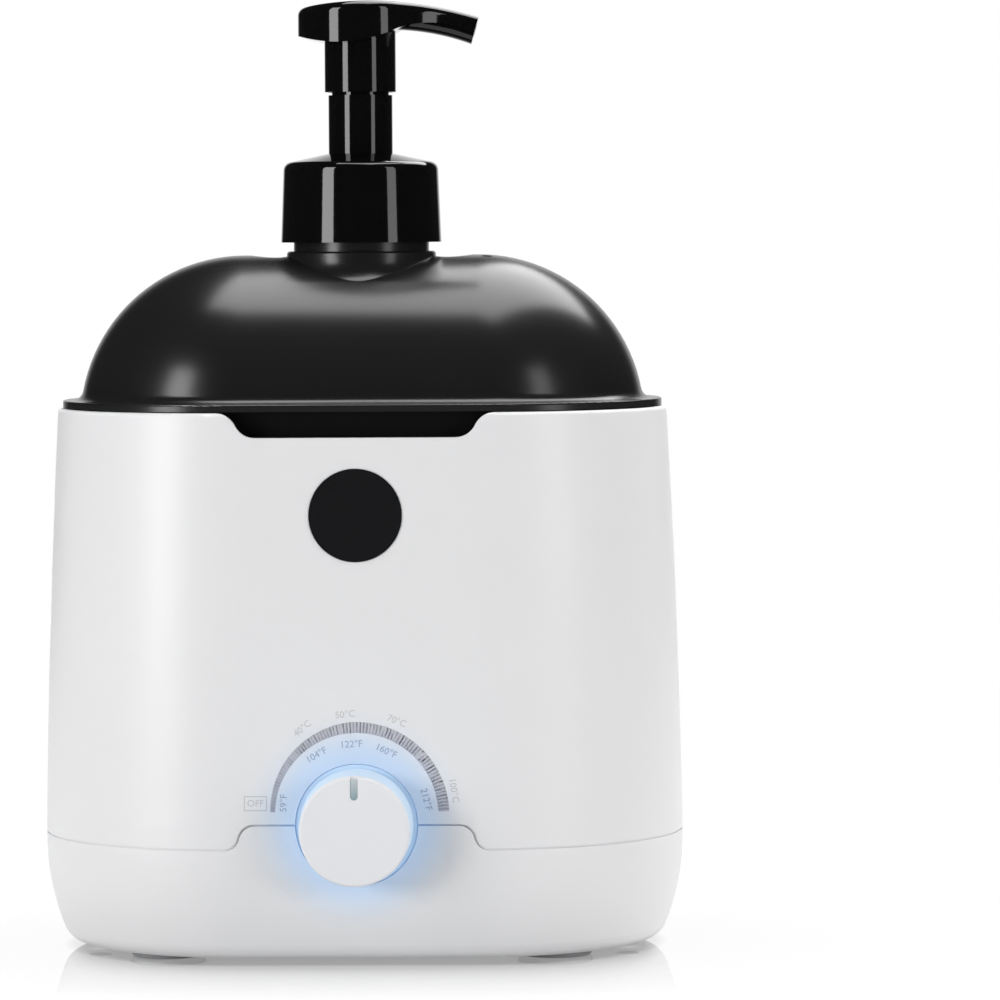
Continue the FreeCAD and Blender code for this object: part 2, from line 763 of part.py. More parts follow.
def make_inlet_seat(body):
    """Thickened rear wall with a flat sunk seat and the opening for the power inlet."""
    block = inlet_box("inlet_half", "inlet_half_tall", "shell_wall / 2")
    between(body, "XZ_Plane", block, "-1 * inlet_seat", "inlet_block - inlet_seat")
    seat = inlet_box("inlet_half", "inlet_half_tall", "fit_gap")
    between(body, "XZ_Plane", seat, f"-1 * {OUTSIDE}", "-1 * inlet_seat", cut=True)
    opening = inlet_box("inlet_body_half", "inlet_body_tall", "fit_gap")
    between(body, "XZ_Plane", opening, f"-1 * {OUTSIDE}", "inlet_block - inlet_seat + cut_margin",
            cut=True)


def make_badge():
    body = new_body("badge_disc")
    extruded(body, badge_sketch(body, "badge_radius"), "badge_thick")


def make_feet():
    names = ("foot_front_left", "foot_front_right", "foot_rear_left", "foot_rear_right")
    top = "base_bottom + foot_recess"
    section = [("0", "0"), ("foot_radius - foot_edge", "0", "foot_edge"),
               ("foot_radius", "foot_edge"), ("foot_radius", top), ("0", top)]
    for name, (x, y) in zip(names, FOOT_PLACES):
        body = new_body(name)
        turned(body, new_sketch(body, "XZ_Plane", [section], (x, "0", f"-1 * {y}")))


def make_screws(label, places, seat, head_up, length):
    """Pan-head screws as a group of separate solids; seat is the height under their heads."""
    body = new_body(label)
    heads, shanks = circles(places, "screw_head"), circles(places, "screw_radius")
    if head_up:
        between(body, "XY_Plane", heads, seat, f"{seat} + head_thick")
        between(body, "XY_Plane", shanks, f"{seat} - {length}", seat)
    else:
        between(body, "XY_Plane", heads, f"{seat} - head_thick", seat)
        between(body, "XY_Plane", shanks, seat, f"{seat} + {length}")


# --------------------------------------------------------------------------- frame and tank
FLANGE_LOW = "(rim_height + frame_proud)"
FLANGE_TOP = f"({FLANGE_LOW} + lid_flange_thick)"


def make_inner_frame():
    outside = "(rim_radius - shell_wall - frame_gap)"
    inside = "(frame_radius - frame_wall)"
    body = stadium_part("inner_frame", [
        (inside, FLANGE_LOW),
        (outside, FLANGE_LOW),
        (outside, f"{FLANGE_LOW} - frame_wall"),
        ("frame_radius", f"{FLANGE_LOW} - frame_wall"),
        ("frame_radius", NOTCH_FLOOR),
        (outside, NOTCH_FLOOR),
        (outside, f"{NOTCH_FLOOR} - frame_wall"),
        (inside, f"{NOTCH_FLOOR} - frame_wall"),
        (inside, "ledge_height - ledge_depth"),
        ("tank_radius + tank_gap", "ledge_height - ledge_depth"),
        ("tank_radius + tank_gap", "ledge_height"),
        (inside, "ledge_height"),
    ])
    notch = swell("notch_outer", "notch_inner", "rim_height", NOTCH_FLOOR)
    above = "rim_height + cut_margin"
    closing = [("notch_outer / 2", above), ("-1 * notch_outer / 2", above)]
    between(body, "XZ_Plane", [notch + closing], "frame_radius", OUTSIDE, cut=True)


def make_tank():
    inner = "(tank_radius - tank_wall)"
    flange_top = "(ledge_height + tank_wall)"
    body = stadium_part("tank", [
        ("0", "tank_bottom"),
        ("tank_radius - tank_corner", "tank_bottom", "tank_corner"),
        ("tank_radius", "tank_bottom + tank_corner"),
        ("tank_radius", "ledge_height"),
        ("tank_flange", "ledge_height"),
        ("tank_flange", flange_top),
        (inner, flange_top),
        (inner, "tank_bottom + tank_corner", "tank_wall - tank_corner"),
        ("tank_radius - tank_corner", "tank_bottom + tank_wall"),
        ("0", "tank_bottom + tank_wall"),
    ])
    studs = [("-1 * stud_x", "0", "stud_radius"), ("stud_x", "0", "stud_radius")]
    between(body, "XY_Plane", studs, "tank_bottom - stud_drop", "tank_bottom")


def make_insulation_sleeve():
    stadium_part("insulation_sleeve", [
        ("tank_radius + fit_gap", "sleeve_low"),
        ("tank_radius + sleeve_wall", "sleeve_low"),
        ("tank_radius + sleeve_wall", "sleeve_high"),
        ("tank_radius + fit_gap", "sleeve_high"),
    ])


# --------------------------------------------------------------------------- heater
PLATE_LOW = "(tank_bottom - heater_thick)"
ELEMENT_HEIGHT = f"({PLATE_LOW} - element_tube - fit_gap)"


def make_heater_plate():
    body = stadium_part("heater_plate", [
        ("0", PLATE_LOW), ("heater_radius", PLATE_LOW),
        ("heater_radius", "tank_bottom"), ("0", "tank_bottom"),
    ])
    holes = [("-1 * stud_x", "0", "stud_radius + bore_gap"),
             ("stud_x", "0", "stud_radius + bore_gap")]
    between(body, "XY_Plane", holes, PLATE_LOW, "tank_bottom", cut=True)


def make_heating_element():
    """U-shaped tube under the plate, with its two ends turned down as terminals."""
    radius, half, aside = value("element_tube"), value("element_half"), value("element_radius")
    height = value(ELEMENT_HEIGHT)
    low = height - value("element_drop")
    points = [(-half, -aside, low), (-half, -aside, height), (half + aside, -aside, height),
              (half + aside, aside, height), (-half, aside, height), (-half, aside, low)]
    made_part("heating_element", rod_along(rounded_path(points, 2 * radius), radius))


def make_plate_nuts():
    body = new_body("plate_nuts")
    nuts = [hexagon(f"{side} * stud_x", "0", "nut_flats") for side in (-1, 1)]
    bores = [(f"{side} * stud_x", "0", "stud_radius + fit_gap") for side in (-1, 1)]
    between(body, "XY_Plane", nuts + bores, f"{PLATE_LOW} - nut_thick", PLATE_LOW)


def make_thermal_fuse():
    """Cut-out against excess heat, a small barrel with narrowed ends."""
    body = new_body("thermal_fuse")
    neck = "fuse_radius / 2"
    section = [
        ("-1 * fuse_half", "0"), ("-1 * fuse_half", neck), (f"{neck} - fuse_half", "fuse_radius"),
        (f"fuse_half - {neck}", "fuse_radius"), ("fuse_half", neck), ("fuse_half", "0"),
    ]
    centre = f"{PLATE_LOW} - fuse_radius - fit_gap"
    turned(body, new_sketch(body, "XZ_Plane", [section], ("0", centre, "0")), "H_Axis")


def make_fuse_clip():
    """Bent strip that holds the cut-out up to the plate."""
    body = new_body("fuse_clip")
    lower = f"({PLATE_LOW} - 2 * fuse_radius - 2 * fit_gap)"
    inner, outer = "(fuse_radius + 2 * fit_gap)", "(fuse_radius + 2 * fit_gap + clip_sheet)"
    strip = [
        ("-1 * clip_half", PLATE_LOW), ("-1 * clip_half", f"{PLATE_LOW} - clip_sheet"),
        (f"-1 * {outer}", f"{PLATE_LOW} - clip_sheet"), (f"-1 * {outer}", f"{lower} - clip_sheet"),
        (outer, f"{lower} - clip_sheet"), (outer, f"{PLATE_LOW} - clip_sheet"),
        ("clip_half", f"{PLATE_LOW} - clip_sheet"), ("clip_half", PLATE_LOW),
        (inner, PLATE_LOW), (inner, lower), (f"-1 * {inner}", lower), (f"-1 * {inner}", PLATE_LOW),
    ]
    extruded(body, new_sketch(body, "YZ_Plane", [strip]), "clip_width", both_ways=True)


def make_sensing_bulb():
    """Thermostat's bulb under the plate, with its capillary back to the thermostat."""
    bulb_x, bulb_y = value("bulb_x"), value("bulb_y")
    height = value(f"{PLATE_LOW} - bulb_radius - fit_gap")
    back, entry = value(THERMOSTAT_BACK), value("knob_height")
    radius = value("capillary_radius")
    bulb = Part.makeCylinder(value("bulb_radius"), value("bulb_length"),
                             V(bulb_x, -bulb_y, height), V(1, 0, 0))
    points = [(bulb_x + radius, -bulb_y, height), (-bulb_x, -bulb_y, height),
              (-bulb_x, -bulb_y, entry), (-bulb_x, -back, entry)]
    capillary = rod_along(rounded_path(points, 4 * radius), radius)
    made_part("sensing_bulb", bulb.fuse(capillary).removeSplitter())


# --------------------------------------------------------------------------- knob and light
BOARD_FRONT = f"({WALL_IN} - ring_depth)"
BRACKET_FRONT = f"({BOARD_FRONT} - board_thick)"
THERMOSTAT_FRONT = f"({BRACKET_FRONT} - bracket_sheet)"
THERMOSTAT_BACK = f"({THERMOSTAT_FRONT} - thermostat_deep)"
BUSH_FRONT = f"({THERMOSTAT_FRONT} + bush_reach)"
KNOB_BACK = "(waist_radius + knob_gap)"
KNOB_FRONT = f"({KNOB_BACK} + knob_depth)"
SHAFT_FRONT = f"({KNOB_FRONT} - hub_floor)"


def make_light_ring():
    ring_radius = "(window_radius - window_gap)"
    ring_back = f"({BOARD_FRONT} + led_thick + frame_gap)"
    knob_axis_part("light_ring", [
        ("waist_radius - ring_sunk", "ring_bore"),
        (ring_back, "ring_bore"),
        (ring_back, "ring_flange - ring_rim"),
        (BOARD_FRONT, "ring_flange - ring_rim"),
        (BOARD_FRONT, "ring_flange"),
        (WALL_IN, "ring_flange"),
        (WALL_IN, ring_radius),
        ("waist_radius - ring_sunk", ring_radius),
    ])


def make_led_board():
    body = new_body("led_board")
    rings = [("0", "0", "ring_flange"), ("0", "0", "board_bore")]
    between(body, "XZ_Plane", rings, BRACKET_FRONT, BOARD_FRONT, up="knob_height")


def make_leds():
    body = new_body("leds")
    die = box("-1 * led_half", "led_circle - led_half", "led_half", "led_circle + led_half")
    pad = between(body, "XZ_Plane", [die], BOARD_FRONT, f"{BOARD_FRONT} + led_thick",
                  up="knob_height")
    ring = body.newObject("PartDesign::PolarPattern", "ring_of_leds")
    ring.Originals = [pad]
    ring.Axis = (pad.Profile[0], ["N_Axis"])
    ring.Angle = 360
    link(ring, "Occurrences", "led_count")
    body.Tip = ring


def make_mounting_bracket():
    body = new_body("mounting_bracket")
    plate = [box("-1 * bracket_half", "bracket_low", "bracket_half", "bracket_high"),
             ("0", "knob_height", "bush_radius + bore_gap")]
    between(body, "XZ_Plane", plate, THERMOSTAT_FRONT, BRACKET_FRONT)
    foot = [box("-1 * bracket_half", f"-1 * {BRACKET_FRONT}", "bracket_half",
                f"bracket_foot - {BRACKET_FRONT}")]
    foot += circles(POST_PLACES, "screw_radius + bore_gap")
    between(body, "XY_Plane", foot, "bracket_low", "bracket_low + bracket_sheet")


def make_thermostat_body():
    body = new_body("thermostat_body")
    case = [box("-1 * thermostat_half", "knob_height - thermostat_half_tall", "thermostat_half",
                "knob_height + thermostat_half_tall")]
    between(body, "XZ_Plane", case, THERMOSTAT_BACK, THERMOSTAT_FRONT)
    bush = [("0", "knob_height", "bush_radius")]
    between(body, "XZ_Plane", bush, THERMOSTAT_FRONT, BUSH_FRONT)
    bore = [("0", "knob_height", "shaft_radius + fit_gap")]
    between(body, "XZ_Plane", bore, f"{THERMOSTAT_FRONT} - shaft_sunk - knob_gap",
            f"{BUSH_FRONT} + cut_margin", cut=True)


def make_thermostat_nut():
    body = new_body("thermostat_nut")
    nut = [hexagon("0", "knob_height", "bush_nut_flats"),
           ("0", "knob_height", "bush_radius + fit_gap")]
    between(body, "XZ_Plane", nut, BRACKET_FRONT, f"{BRACKET_FRONT} + bush_nut_thick")


def make_thermostat_shaft():
    body = new_body("thermostat_shaft")
    shaft = [("0", "knob_height", "shaft_radius")]
    between(body, "XZ_Plane", shaft, f"{THERMOSTAT_FRONT} - shaft_sunk", SHAFT_FRONT)


def pointer_outline(half, inner, outer):
    """A slot that ends round at its inner end."""
    return [(f"-1 * ({half})", outer), (f"-1 * ({half})", inner, half),
            ("0", f"{inner} - ({half})", half), (half, inner), (half, outer)]


def make_knob():
    bore = "(shaft_radius + fit_gap)"
    body = knob_axis_part("knob", [
        (KNOB_FRONT, "0"),
        (KNOB_FRONT, "knob_radius - knob_edge", "-1 * knob_edge"),
        (f"{KNOB_FRONT} - knob_edge", "knob_radius"),
        (KNOB_BACK, "knob_back_radius"),
        (KNOB_BACK, "knob_back_radius - knob_wall"),
        (f"{KNOB_FRONT} - knob_wall", "knob_radius - knob_wall"),
        (f"{KNOB_FRONT} - knob_wall", "hub_radius"),
        (f"{KNOB_BACK} + knob_gap", "hub_radius"),
        (f"{KNOB_BACK} + knob_gap", bore),
        (SHAFT_FRONT, bore),
        (SHAFT_FRONT, "0"),
    ])
    slot = pointer_outline("pointer_half", "pointer_inner", "knob_back_radius")
    between(body, "XZ_Plane", [slot], f"{KNOB_FRONT} - pointer_depth",
            f"{KNOB_FRONT} + cut_margin", cut=True, up="knob_height")


def make_knob_pointer():
    body = new_body("knob_pointer")
    slip = pointer_outline("pointer_half - fit_gap", "pointer_inner", "knob_radius - knob_edge")
    between(body, "XZ_Plane", [slip], f"{KNOB_FRONT} - pointer_depth",
            f"{KNOB_FRONT} - pointer_sunk", up="knob_height")


# --------------------------------------------------------------------------- power inlet, wires
INLET_FACE = "(inlet_seat + inlet_flange)"
PIN_PLACES = [("-1 * pin_pitch / 2", "inlet_height"), ("pin_pitch / 2", "inlet_height")]


def make_power_inlet():
    """Two-pin appliance inlet with a figure-of-eight cavity."""
    body = new_body("power_inlet")
    flange = inlet_box("inlet_half", "inlet_half_tall", "0")
    between(body, "XZ_Plane", flange, f"-1 * {INLET_FACE}", "-1 * inlet_seat")
    case = inlet_box("inlet_body_half", "inlet_body_tall", "0")
    between(body, "XZ_Plane", case, "-1 * inlet_seat", "-1 * inlet_back")
    outside, floor = f"-1 * {INLET_FACE} - cut_margin", f"inlet_depth - {INLET_FACE}"
    for lobe in circles(PIN_PLACES, "inlet_lobe"):
        between(body, "XZ_Plane", [lobe], outside, floor, cut=True)
    waist = inlet_box("pin_pitch / 2", "inlet_waist", "0")
    between(body, "XZ_Plane", waist, outside, floor, cut=True)
    holes = circles(PIN_PLACES, "pin_radius + fit_gap")
    between(body, "XZ_Plane", holes, f"-1 * {INLET_FACE}", "cut_margin - inlet_back", cut=True)


def make_inlet_pins():
    body = new_body("inlet_pins")
    tip = f"(inlet_depth - pin_length - {INLET_FACE})"
    between(body, "XZ_Plane", circles(PIN_PLACES, "pin_radius"), tip, "pin_tail - inlet_back")


def make_wires():
    """Leads inside the base: inlet to thermostat, inlet to element, thermostat to element."""
    radius, bend = value("wire_radius"), value("wire_bend")
    pin_x, pin_z = value("pin_pitch / 2"), value("inlet_height")
    pin_y = value("inlet_back - pin_tail")
    end_x, end_y = value("element_half"), value("element_radius")
    end_z = value(f"{ELEMENT_HEIGHT} - element_drop")
    back, tab_x = value(THERMOSTAT_BACK), value("thermostat_half / 2")
    tab_z = value("knob_height - thermostat_half_tall / 2")
    low = value("base_bottom + shell_wall + 3 * wire_radius")
    routes = {
        "wire_supply": [(pin_x, pin_y, pin_z), (pin_x, pin_y - 3 * bend, pin_z),
                        (tab_x, bend - back, tab_z), (tab_x, -back, tab_z)],
        "wire_return": [(-pin_x, pin_y, pin_z), (-pin_x, end_y, pin_z), (-end_x, end_y, low),
                        (-end_x, end_y, end_z)],
        "wire_heater": [(-tab_x, -back, tab_z), (-tab_x, 2 * bend - back, tab_z),
                        (-end_x, -end_y, low), (-end_x, -end_y, end_z)],
    }
    for name, points in routes.items():
        made_part(name, rod_along(rounded_path(points, bend), radius))


# --------------------------------------------------------------------------- lid
DOME_CENTRE = "(dome_top - dome_radius)"
NECK_BORE = "(neck_radius - neck_wall)"
PLUG_LOW = f"({FLANGE_LOW} - plug_depth)"

# the seat's flare: an arc that just dips into the dome in front of and behind the pump
SEAT_RISE = f"(seat_height - {DOME_CENTRE})"
DOME_SUNK = "(dome_radius - seat_sunk)"
SEAT_FLARE = (f"((seat_radius^2 + {SEAT_RISE}^2 - {DOME_SUNK}^2)"
              f" / (2 * ({DOME_SUNK} - seat_radius)))")
FLARE_SHARE = f"({DOME_SUNK} / ({DOME_SUNK} + {SEAT_FLARE}))"
FLARE_FOOT = f"((seat_radius + {SEAT_FLARE}) * {FLARE_SHARE})"
FLARE_LOW = f"({DOME_CENTRE} + {SEAT_RISE} * {FLARE_SHARE})"


def make_lid_dome():
    flare_z = f"({FLANGE_TOP} + flare_radius)"
    reach = "(dome_radius + flare_radius)"
    inner, skirt_in = "(dome_radius - lid_wall)", "(plug_radius - plug_wall)"
    flare_r = f"sqrt({reach}^2 - ({flare_z} - {DOME_CENTRE})^2)"
    join = (f"{flare_r} * dome_radius / {reach}",
            f"{DOME_CENTRE} + ({flare_z} - {DOME_CENTRE}) * dome_radius / {reach}")
    body = stadium_part("lid_dome", [
        ("0", "dome_top", "-1 * dome_radius"),
        (*join, "flare_radius"),
        (flare_r, FLANGE_TOP),
        ("lid_flange - lid_edge", FLANGE_TOP, "-1 * lid_edge"),
        ("lid_flange", f"{FLANGE_TOP} - lid_edge"),
        ("lid_flange", FLANGE_LOW),
        ("plug_radius", FLANGE_LOW),
        ("plug_radius", PLUG_LOW),
        (skirt_in, PLUG_LOW),
        (skirt_in, FLANGE_TOP),
        (f"sqrt({inner}^2 - ({FLANGE_TOP} - {DOME_CENTRE})^2)", FLANGE_TOP, inner),
        ("0", "dome_top - lid_wall"),
    ])
    # ring-shaped hollow, then the seat that flares down into the dome, and the neck
    half = "sqrt(2 * dish_curve * 2 * dish_depth - (2 * dish_depth)^2)"
    rim = "(dome_top + dish_depth)"
    dish = [(f"dish_radius - {half}", rim, "dish_curve"), (f"dish_radius + {half}", rim)]
    turned(body, new_sketch(body, "XZ_Plane", [dish]), cut=True)
    side = f"(seat_radius + {SEAT_FLARE} - sqrt({SEAT_FLARE}^2 - seat_edge^2))"
    hollow_low = f"({FLARE_LOW} - lid_wall)"
    seat = [
        ("seat_radius - 2 * lid_wall", "seat_height"),
        (f"{side} - seat_edge", "seat_height", "-1 * seat_edge"),
        (side, "seat_height - seat_edge", SEAT_FLARE),
        (FLARE_FOOT, FLARE_LOW),
        ("seat_radius + lid_wall", hollow_low),
        ("seat_radius", hollow_low),
        ("seat_radius - 2 * lid_wall", "seat_height - lid_wall"),
    ]
    turned(body, new_sketch(body, "XZ_Plane", [seat]))
    neck = [("0", "0", "neck_radius")]
    between(body, "XY_Plane", neck, "seat_height - lid_wall", "neck_height")
    # the space under the seat and the pump's bore
    hollow = [
        ("0", hollow_low),
        ("seat_radius + lid_wall", hollow_low),
        ("seat_radius - lid_wall", "seat_height - lid_wall"),
        (NECK_BORE, "seat_height - lid_wall"),
        (NECK_BORE, "neck_height + cut_margin"),
        ("0", "neck_height + cut_margin"),
    ]
    turned(body, new_sketch(body, "XZ_Plane", [hollow]), cut=True)
    vent = [("vent_x", "vent_y", "vent_radius")]
    between(body, "XY_Plane", vent, "dome_top - 4 * lid_wall", "dome_top + cut_margin", cut=True)


def make_lid_seal():
    inner, low = "plug_radius + seal_gap", "ledge_height + tank_wall + seal_gap"
    stadium_part("lid_seal", [(inner, low), ("seal_radius", low), ("seal_radius", FLANGE_LOW),
                              (inner, FLANGE_LOW)])


# --------------------------------------------------------------------------- pump, fixed pieces
GASKET_TOP = "(neck_height + gasket_thick)"
HOUSING_TOP = f"({GASKET_TOP} + flange_thick)"
CHAPLET_SEAT = f"({HOUSING_TOP} + chaplet_sheet)"
PISTON_TOP = f"({HOUSING_TOP} - piston_rest)"
PISTON_LOW = f"({PISTON_TOP} - piston_height)"
DISC_TOP = f"({PISTON_TOP} - piston_lip)"
DISC_LOW = f"({DISC_TOP} - piston_disc)"
CHAMBER_FLOOR = f"({PISTON_LOW} - head_travel - stop_gap)"
THROAT_TOP = f"({CHAMBER_FLOOR} - chamber_wall)"
THROAT_LOW = f"({THROAT_TOP} - throat_height)"
BARREL_LOW = f"({THROAT_LOW} - barrel_length)"
SEAT_TOP = f"({BARREL_LOW} + valve_seat)"
BALL_HEIGHT = f"({SEAT_TOP} + sqrt(ball_radius^2 - valve_hole^2) + fit_gap)"
LIQUID_LOW = f"({BALL_HEIGHT} + ball_radius + head_travel + ball_gap)"
BARREL_BORE = "(barrel_radius - chamber_wall)"
CHAMBER_BORE = "(chamber_radius - chamber_wall)"
TUBE_SOCKET = "(tube_radius + fit_gap)"
COLLAR_HOLE = "(chaplet_radius + turn_gap)"
SHOULDER_RADIUS = "(collar_radius - collar_draft - collar_shoulder * (1 - sin(collar_cone)))"
SHOULDER_TOP = "(collar_low + collar_side + collar_shoulder * cos(collar_cone))"
COLLAR_TOP = f"({SHOULDER_TOP} + ({SHOULDER_RADIUS} - {COLLAR_HOLE}) * tan(collar_cone))"
SKIRT_LOW = f"({COLLAR_TOP} + head_travel + skirt_clear)"
CHAPLET_SHOULDER = f"({SKIRT_LOW} - shoulder_gap)"
CHAPLET_TOP = f"({CHAPLET_SHOULDER} + spigot_height)"
SOCKET_LOW = f"({SKIRT_LOW} + socket_sunk)"
STEM_SOCKET = "(stem_radius + fit_gap)"
SOCKET_OUTSIDE = f"({STEM_SOCKET} + socket_wall)"
STEM_TOP = f"({SOCKET_LOW} + stem_engaged)"


def make_pump_collar():
    bore, ceiling = "(neck_radius + thread_gap)", f"({CHAPLET_SEAT} + thread_gap)"
    turned_part("pump_collar", [
        (bore, "collar_low"),
        ("collar_radius", "collar_low"),
        ("collar_radius - collar_draft", "collar_low + collar_side", "collar_shoulder"),
        (SHOULDER_RADIUS, SHOULDER_TOP),
        (COLLAR_HOLE, COLLAR_TOP),
        (COLLAR_HOLE, ceiling),
        (bore, ceiling),
    ])


def make_pump_gasket():
    turned_part("pump_gasket", [
        (NECK_BORE, "neck_height"), ("neck_radius - fit_gap", "neck_height"),
        ("neck_radius - fit_gap", GASKET_TOP), (NECK_BORE, GASKET_TOP),
    ])


def make_pump_housing():
    """Air chamber above, liquid barrel below it, and the dip tube's socket at the foot."""
    socket_low = f"({BARREL_LOW} - socket_length)"
    socket_outside = f"({TUBE_SOCKET} + chamber_wall)"
    turned_part("pump_housing", [
        (CHAMBER_BORE, HOUSING_TOP),
        ("chamber_flange", HOUSING_TOP),
        ("chamber_flange", GASKET_TOP),
        ("chamber_radius", GASKET_TOP),
        ("chamber_radius", THROAT_TOP),
        ("throat_radius", THROAT_TOP),
        ("throat_radius", THROAT_LOW),
        ("barrel_radius", THROAT_LOW),
        ("barrel_radius", BARREL_LOW),
        (socket_outside, BARREL_LOW),
        (socket_outside, socket_low),
        (TUBE_SOCKET, socket_low),
        (TUBE_SOCKET, BARREL_LOW),
        ("valve_hole", BARREL_LOW),
        ("valve_hole", SEAT_TOP),
        (BARREL_BORE, SEAT_TOP),
        (BARREL_BORE, CHAMBER_FLOOR),
        (CHAMBER_BORE, CHAMBER_FLOOR),
    ])


def make_chaplet():
    """Flanged guide tube that the pump head slides over; its narrow top enters the head."""
    bore = f"({SOCKET_OUTSIDE} + socket_gap)"
    turned_part("chaplet", [
        (bore, HOUSING_TOP),
        ("chaplet_flange", HOUSING_TOP),
        ("chaplet_flange", CHAPLET_SEAT),
        ("chaplet_radius", CHAPLET_SEAT),
        ("chaplet_radius", CHAPLET_SHOULDER),
        ("chaplet_radius - spigot_step", CHAPLET_SHOULDER),
        ("chaplet_radius - spigot_step", CHAPLET_TOP),
        (bore, CHAPLET_TOP),
    ])


def make_suction_ball():
    ball = doc.addObject("Part::Sphere", "suction_ball")
    link(ball, "Radius", "ball_radius")
    link(ball, "Placement.Base.z", BALL_HEIGHT)
    keep(ball)


def make_dip_tube():
    low = "(tank_bottom + tank_wall + tube_clear)"
    top = f"{BARREL_LOW} - tube_gap"
    body = turned_part("dip_tube", [
        ("tube_bore", low), ("tube_radius", low), ("tube_radius", top), ("tube_bore", top),
    ])
    slant = [("-1 * tube_radius - fit_gap", f"{low} - fit_gap"),
             ("tube_radius + fit_gap", f"{low} - fit_gap"),
             ("tube_radius + fit_gap", f"{low} + 2 * tube_radius")]
    sketch = new_sketch(body, "XZ_Plane", [slant])
    extruded(body, sketch, "4 * tube_radius", cut=True, both_ways=True)


# --------------------------------------------------------------------------- pump, moving pieces
def make_pump_stem():
    """Foam tube above, liquid rod below it, and a collar that drives the air piston."""
    stem_low = f"({DISC_LOW} - piston_lip)"
    stem_bore = "(stem_radius - stem_wall)"
    rod_bore = "(rod_radius - rod_wall)"
    rod_low = f"({LIQUID_LOW} + liquid_height / 3)"
    turned_part("pump_stem", [
        (rod_bore, rod_low),
        ("rod_radius", rod_low),
        ("rod_radius", stem_low),
        ("stem_radius", stem_low),
        ("stem_radius", DISC_TOP),
        ("stem_collar", DISC_TOP),
        ("stem_collar", f"{DISC_TOP} + stem_collar_thick"),
        ("stem_radius", f"{DISC_TOP} + stem_collar_thick"),
        ("stem_radius", STEM_TOP),
        (stem_bore, STEM_TOP),
        (stem_bore, f"{DISC_TOP} + stem_collar_thick"),
        (rod_bore, DISC_TOP),
    ])


def make_air_piston():
    inner, outer = "(stem_radius + fit_gap)", f"({CHAMBER_BORE} - piston_gap)"
    turned_part("air_piston", [
        (inner, DISC_LOW),
        (f"{outer} - piston_lip", DISC_LOW),
        (f"{outer} - piston_lip", PISTON_LOW),
        (outer, PISTON_LOW),
        (outer, PISTON_TOP),
        (f"{outer} - piston_lip", PISTON_TOP),
        (f"{outer} - piston_lip", DISC_TOP),
        (inner, DISC_TOP),
    ])


def make_liquid_piston():
    inner, outer = "rod_radius + fit_gap", f"{BARREL_BORE} - piston_gap"
    top = f"{LIQUID_LOW} + liquid_height"
    turned_part("liquid_piston", [(inner, LIQUID_LOW), (outer, LIQUID_LOW), (outer, top),
                                  (inner, top)])


def make_mesh_holder():
    outer, top = "(stem_radius - stem_wall - fit_gap)", f"({STEM_TOP} - mesh_sunk)"
    turned_part("mesh_holder", [
        (f"{outer} - mesh_wall", f"{top} - mesh_height"), (outer, f"{top} - mesh_height"),
        (outer, top), (f"{outer} - mesh_wall", top),
    ])


def make_return_spring():
    """Coil between the chamber's floor and the air piston."""
    radius = value("spring_radius")
    foot = value(f"{CHAMBER_FLOOR} + spring_wire")
    rise = value(f"{DISC_LOW} - {CHAMBER_FLOOR} - 2 * spring_wire")
    halves = 2 * round(value("spring_turns"))
    climb = rise / halves
    # leaning half circles that meet along Y, so the coil is smooth where they join
    reach = math.hypot(radius, climb / 2)
    arcs, side = [], 1
    for half in range(halves):
        low = foot + half * climb
        arcs.append(Part.Arc(V(side * radius, 0, low), V(0, side * reach, low + climb / 2),
                             V(-side * radius, 0, low + climb)).toShape())
        side = -side
    made_part("return_spring", rod_along(Part.Wire(arcs), value("spring_wire")))


# --------------------------------------------------------------------------- pump head
HEAD_BASE = f"({SKIRT_LOW} + skirt_height)"
HEAD_CEILING = f"({CHAPLET_TOP} + head_travel + socket_gap)"


def crown_radius(run, rise):
    """Radius of an arc that leaves the crown level and drops by rise over run."""
    return f"(({run})^2 + ({rise})^2) / (2 * ({rise}))"


def tip_point(height):
    """The point of the nozzle's slanted end at this height over the head's base."""
    lean = "nozzle_back / (nozzle_rise + nozzle_drop)"
    return f"nozzle_reach - (nozzle_rise - ({height})) * {lean}", f"{HEAD_BASE} + {height}"


def canopy_side():
    """The head's canopy from the side: its crown droops to the nozzle's tip, and its underside is
    a rounded belly under the disc and an arch over the spout."""
    left = crown_radius("head_radius + head_over + head_apex", "head_rise - rim_side")
    right = crown_radius("nozzle_reach - head_apex", "head_rise - nozzle_rise")
    return [
        ("-1 * head_radius - head_over", f"{HEAD_BASE} + rim_foot"),
        ("-1 * head_radius - head_over", f"{HEAD_BASE} + rim_side", f"-1 * {left}"),
        ("head_apex", f"{HEAD_BASE} + head_rise", f"-1 * {right}"),
        tip_point("nozzle_rise"),
        (*tip_point("canopy_tip"), "canopy_arch"),
        ("nozzle_root", f"{HEAD_BASE} + nozzle_root_rise", "-1 * head_belly"),
    ]


def spout_side():
    """The spout from the side: it hangs under the canopy and grows deeper towards the tip."""
    return [
        ("nozzle_root", f"{HEAD_BASE} + spout_top"),
        tip_point("spout_top"),
        (*tip_point("-1 * nozzle_drop"), "nozzle_arch"),
        ("nozzle_root", f"{HEAD_BASE} + nozzle_root_rise"),
    ]


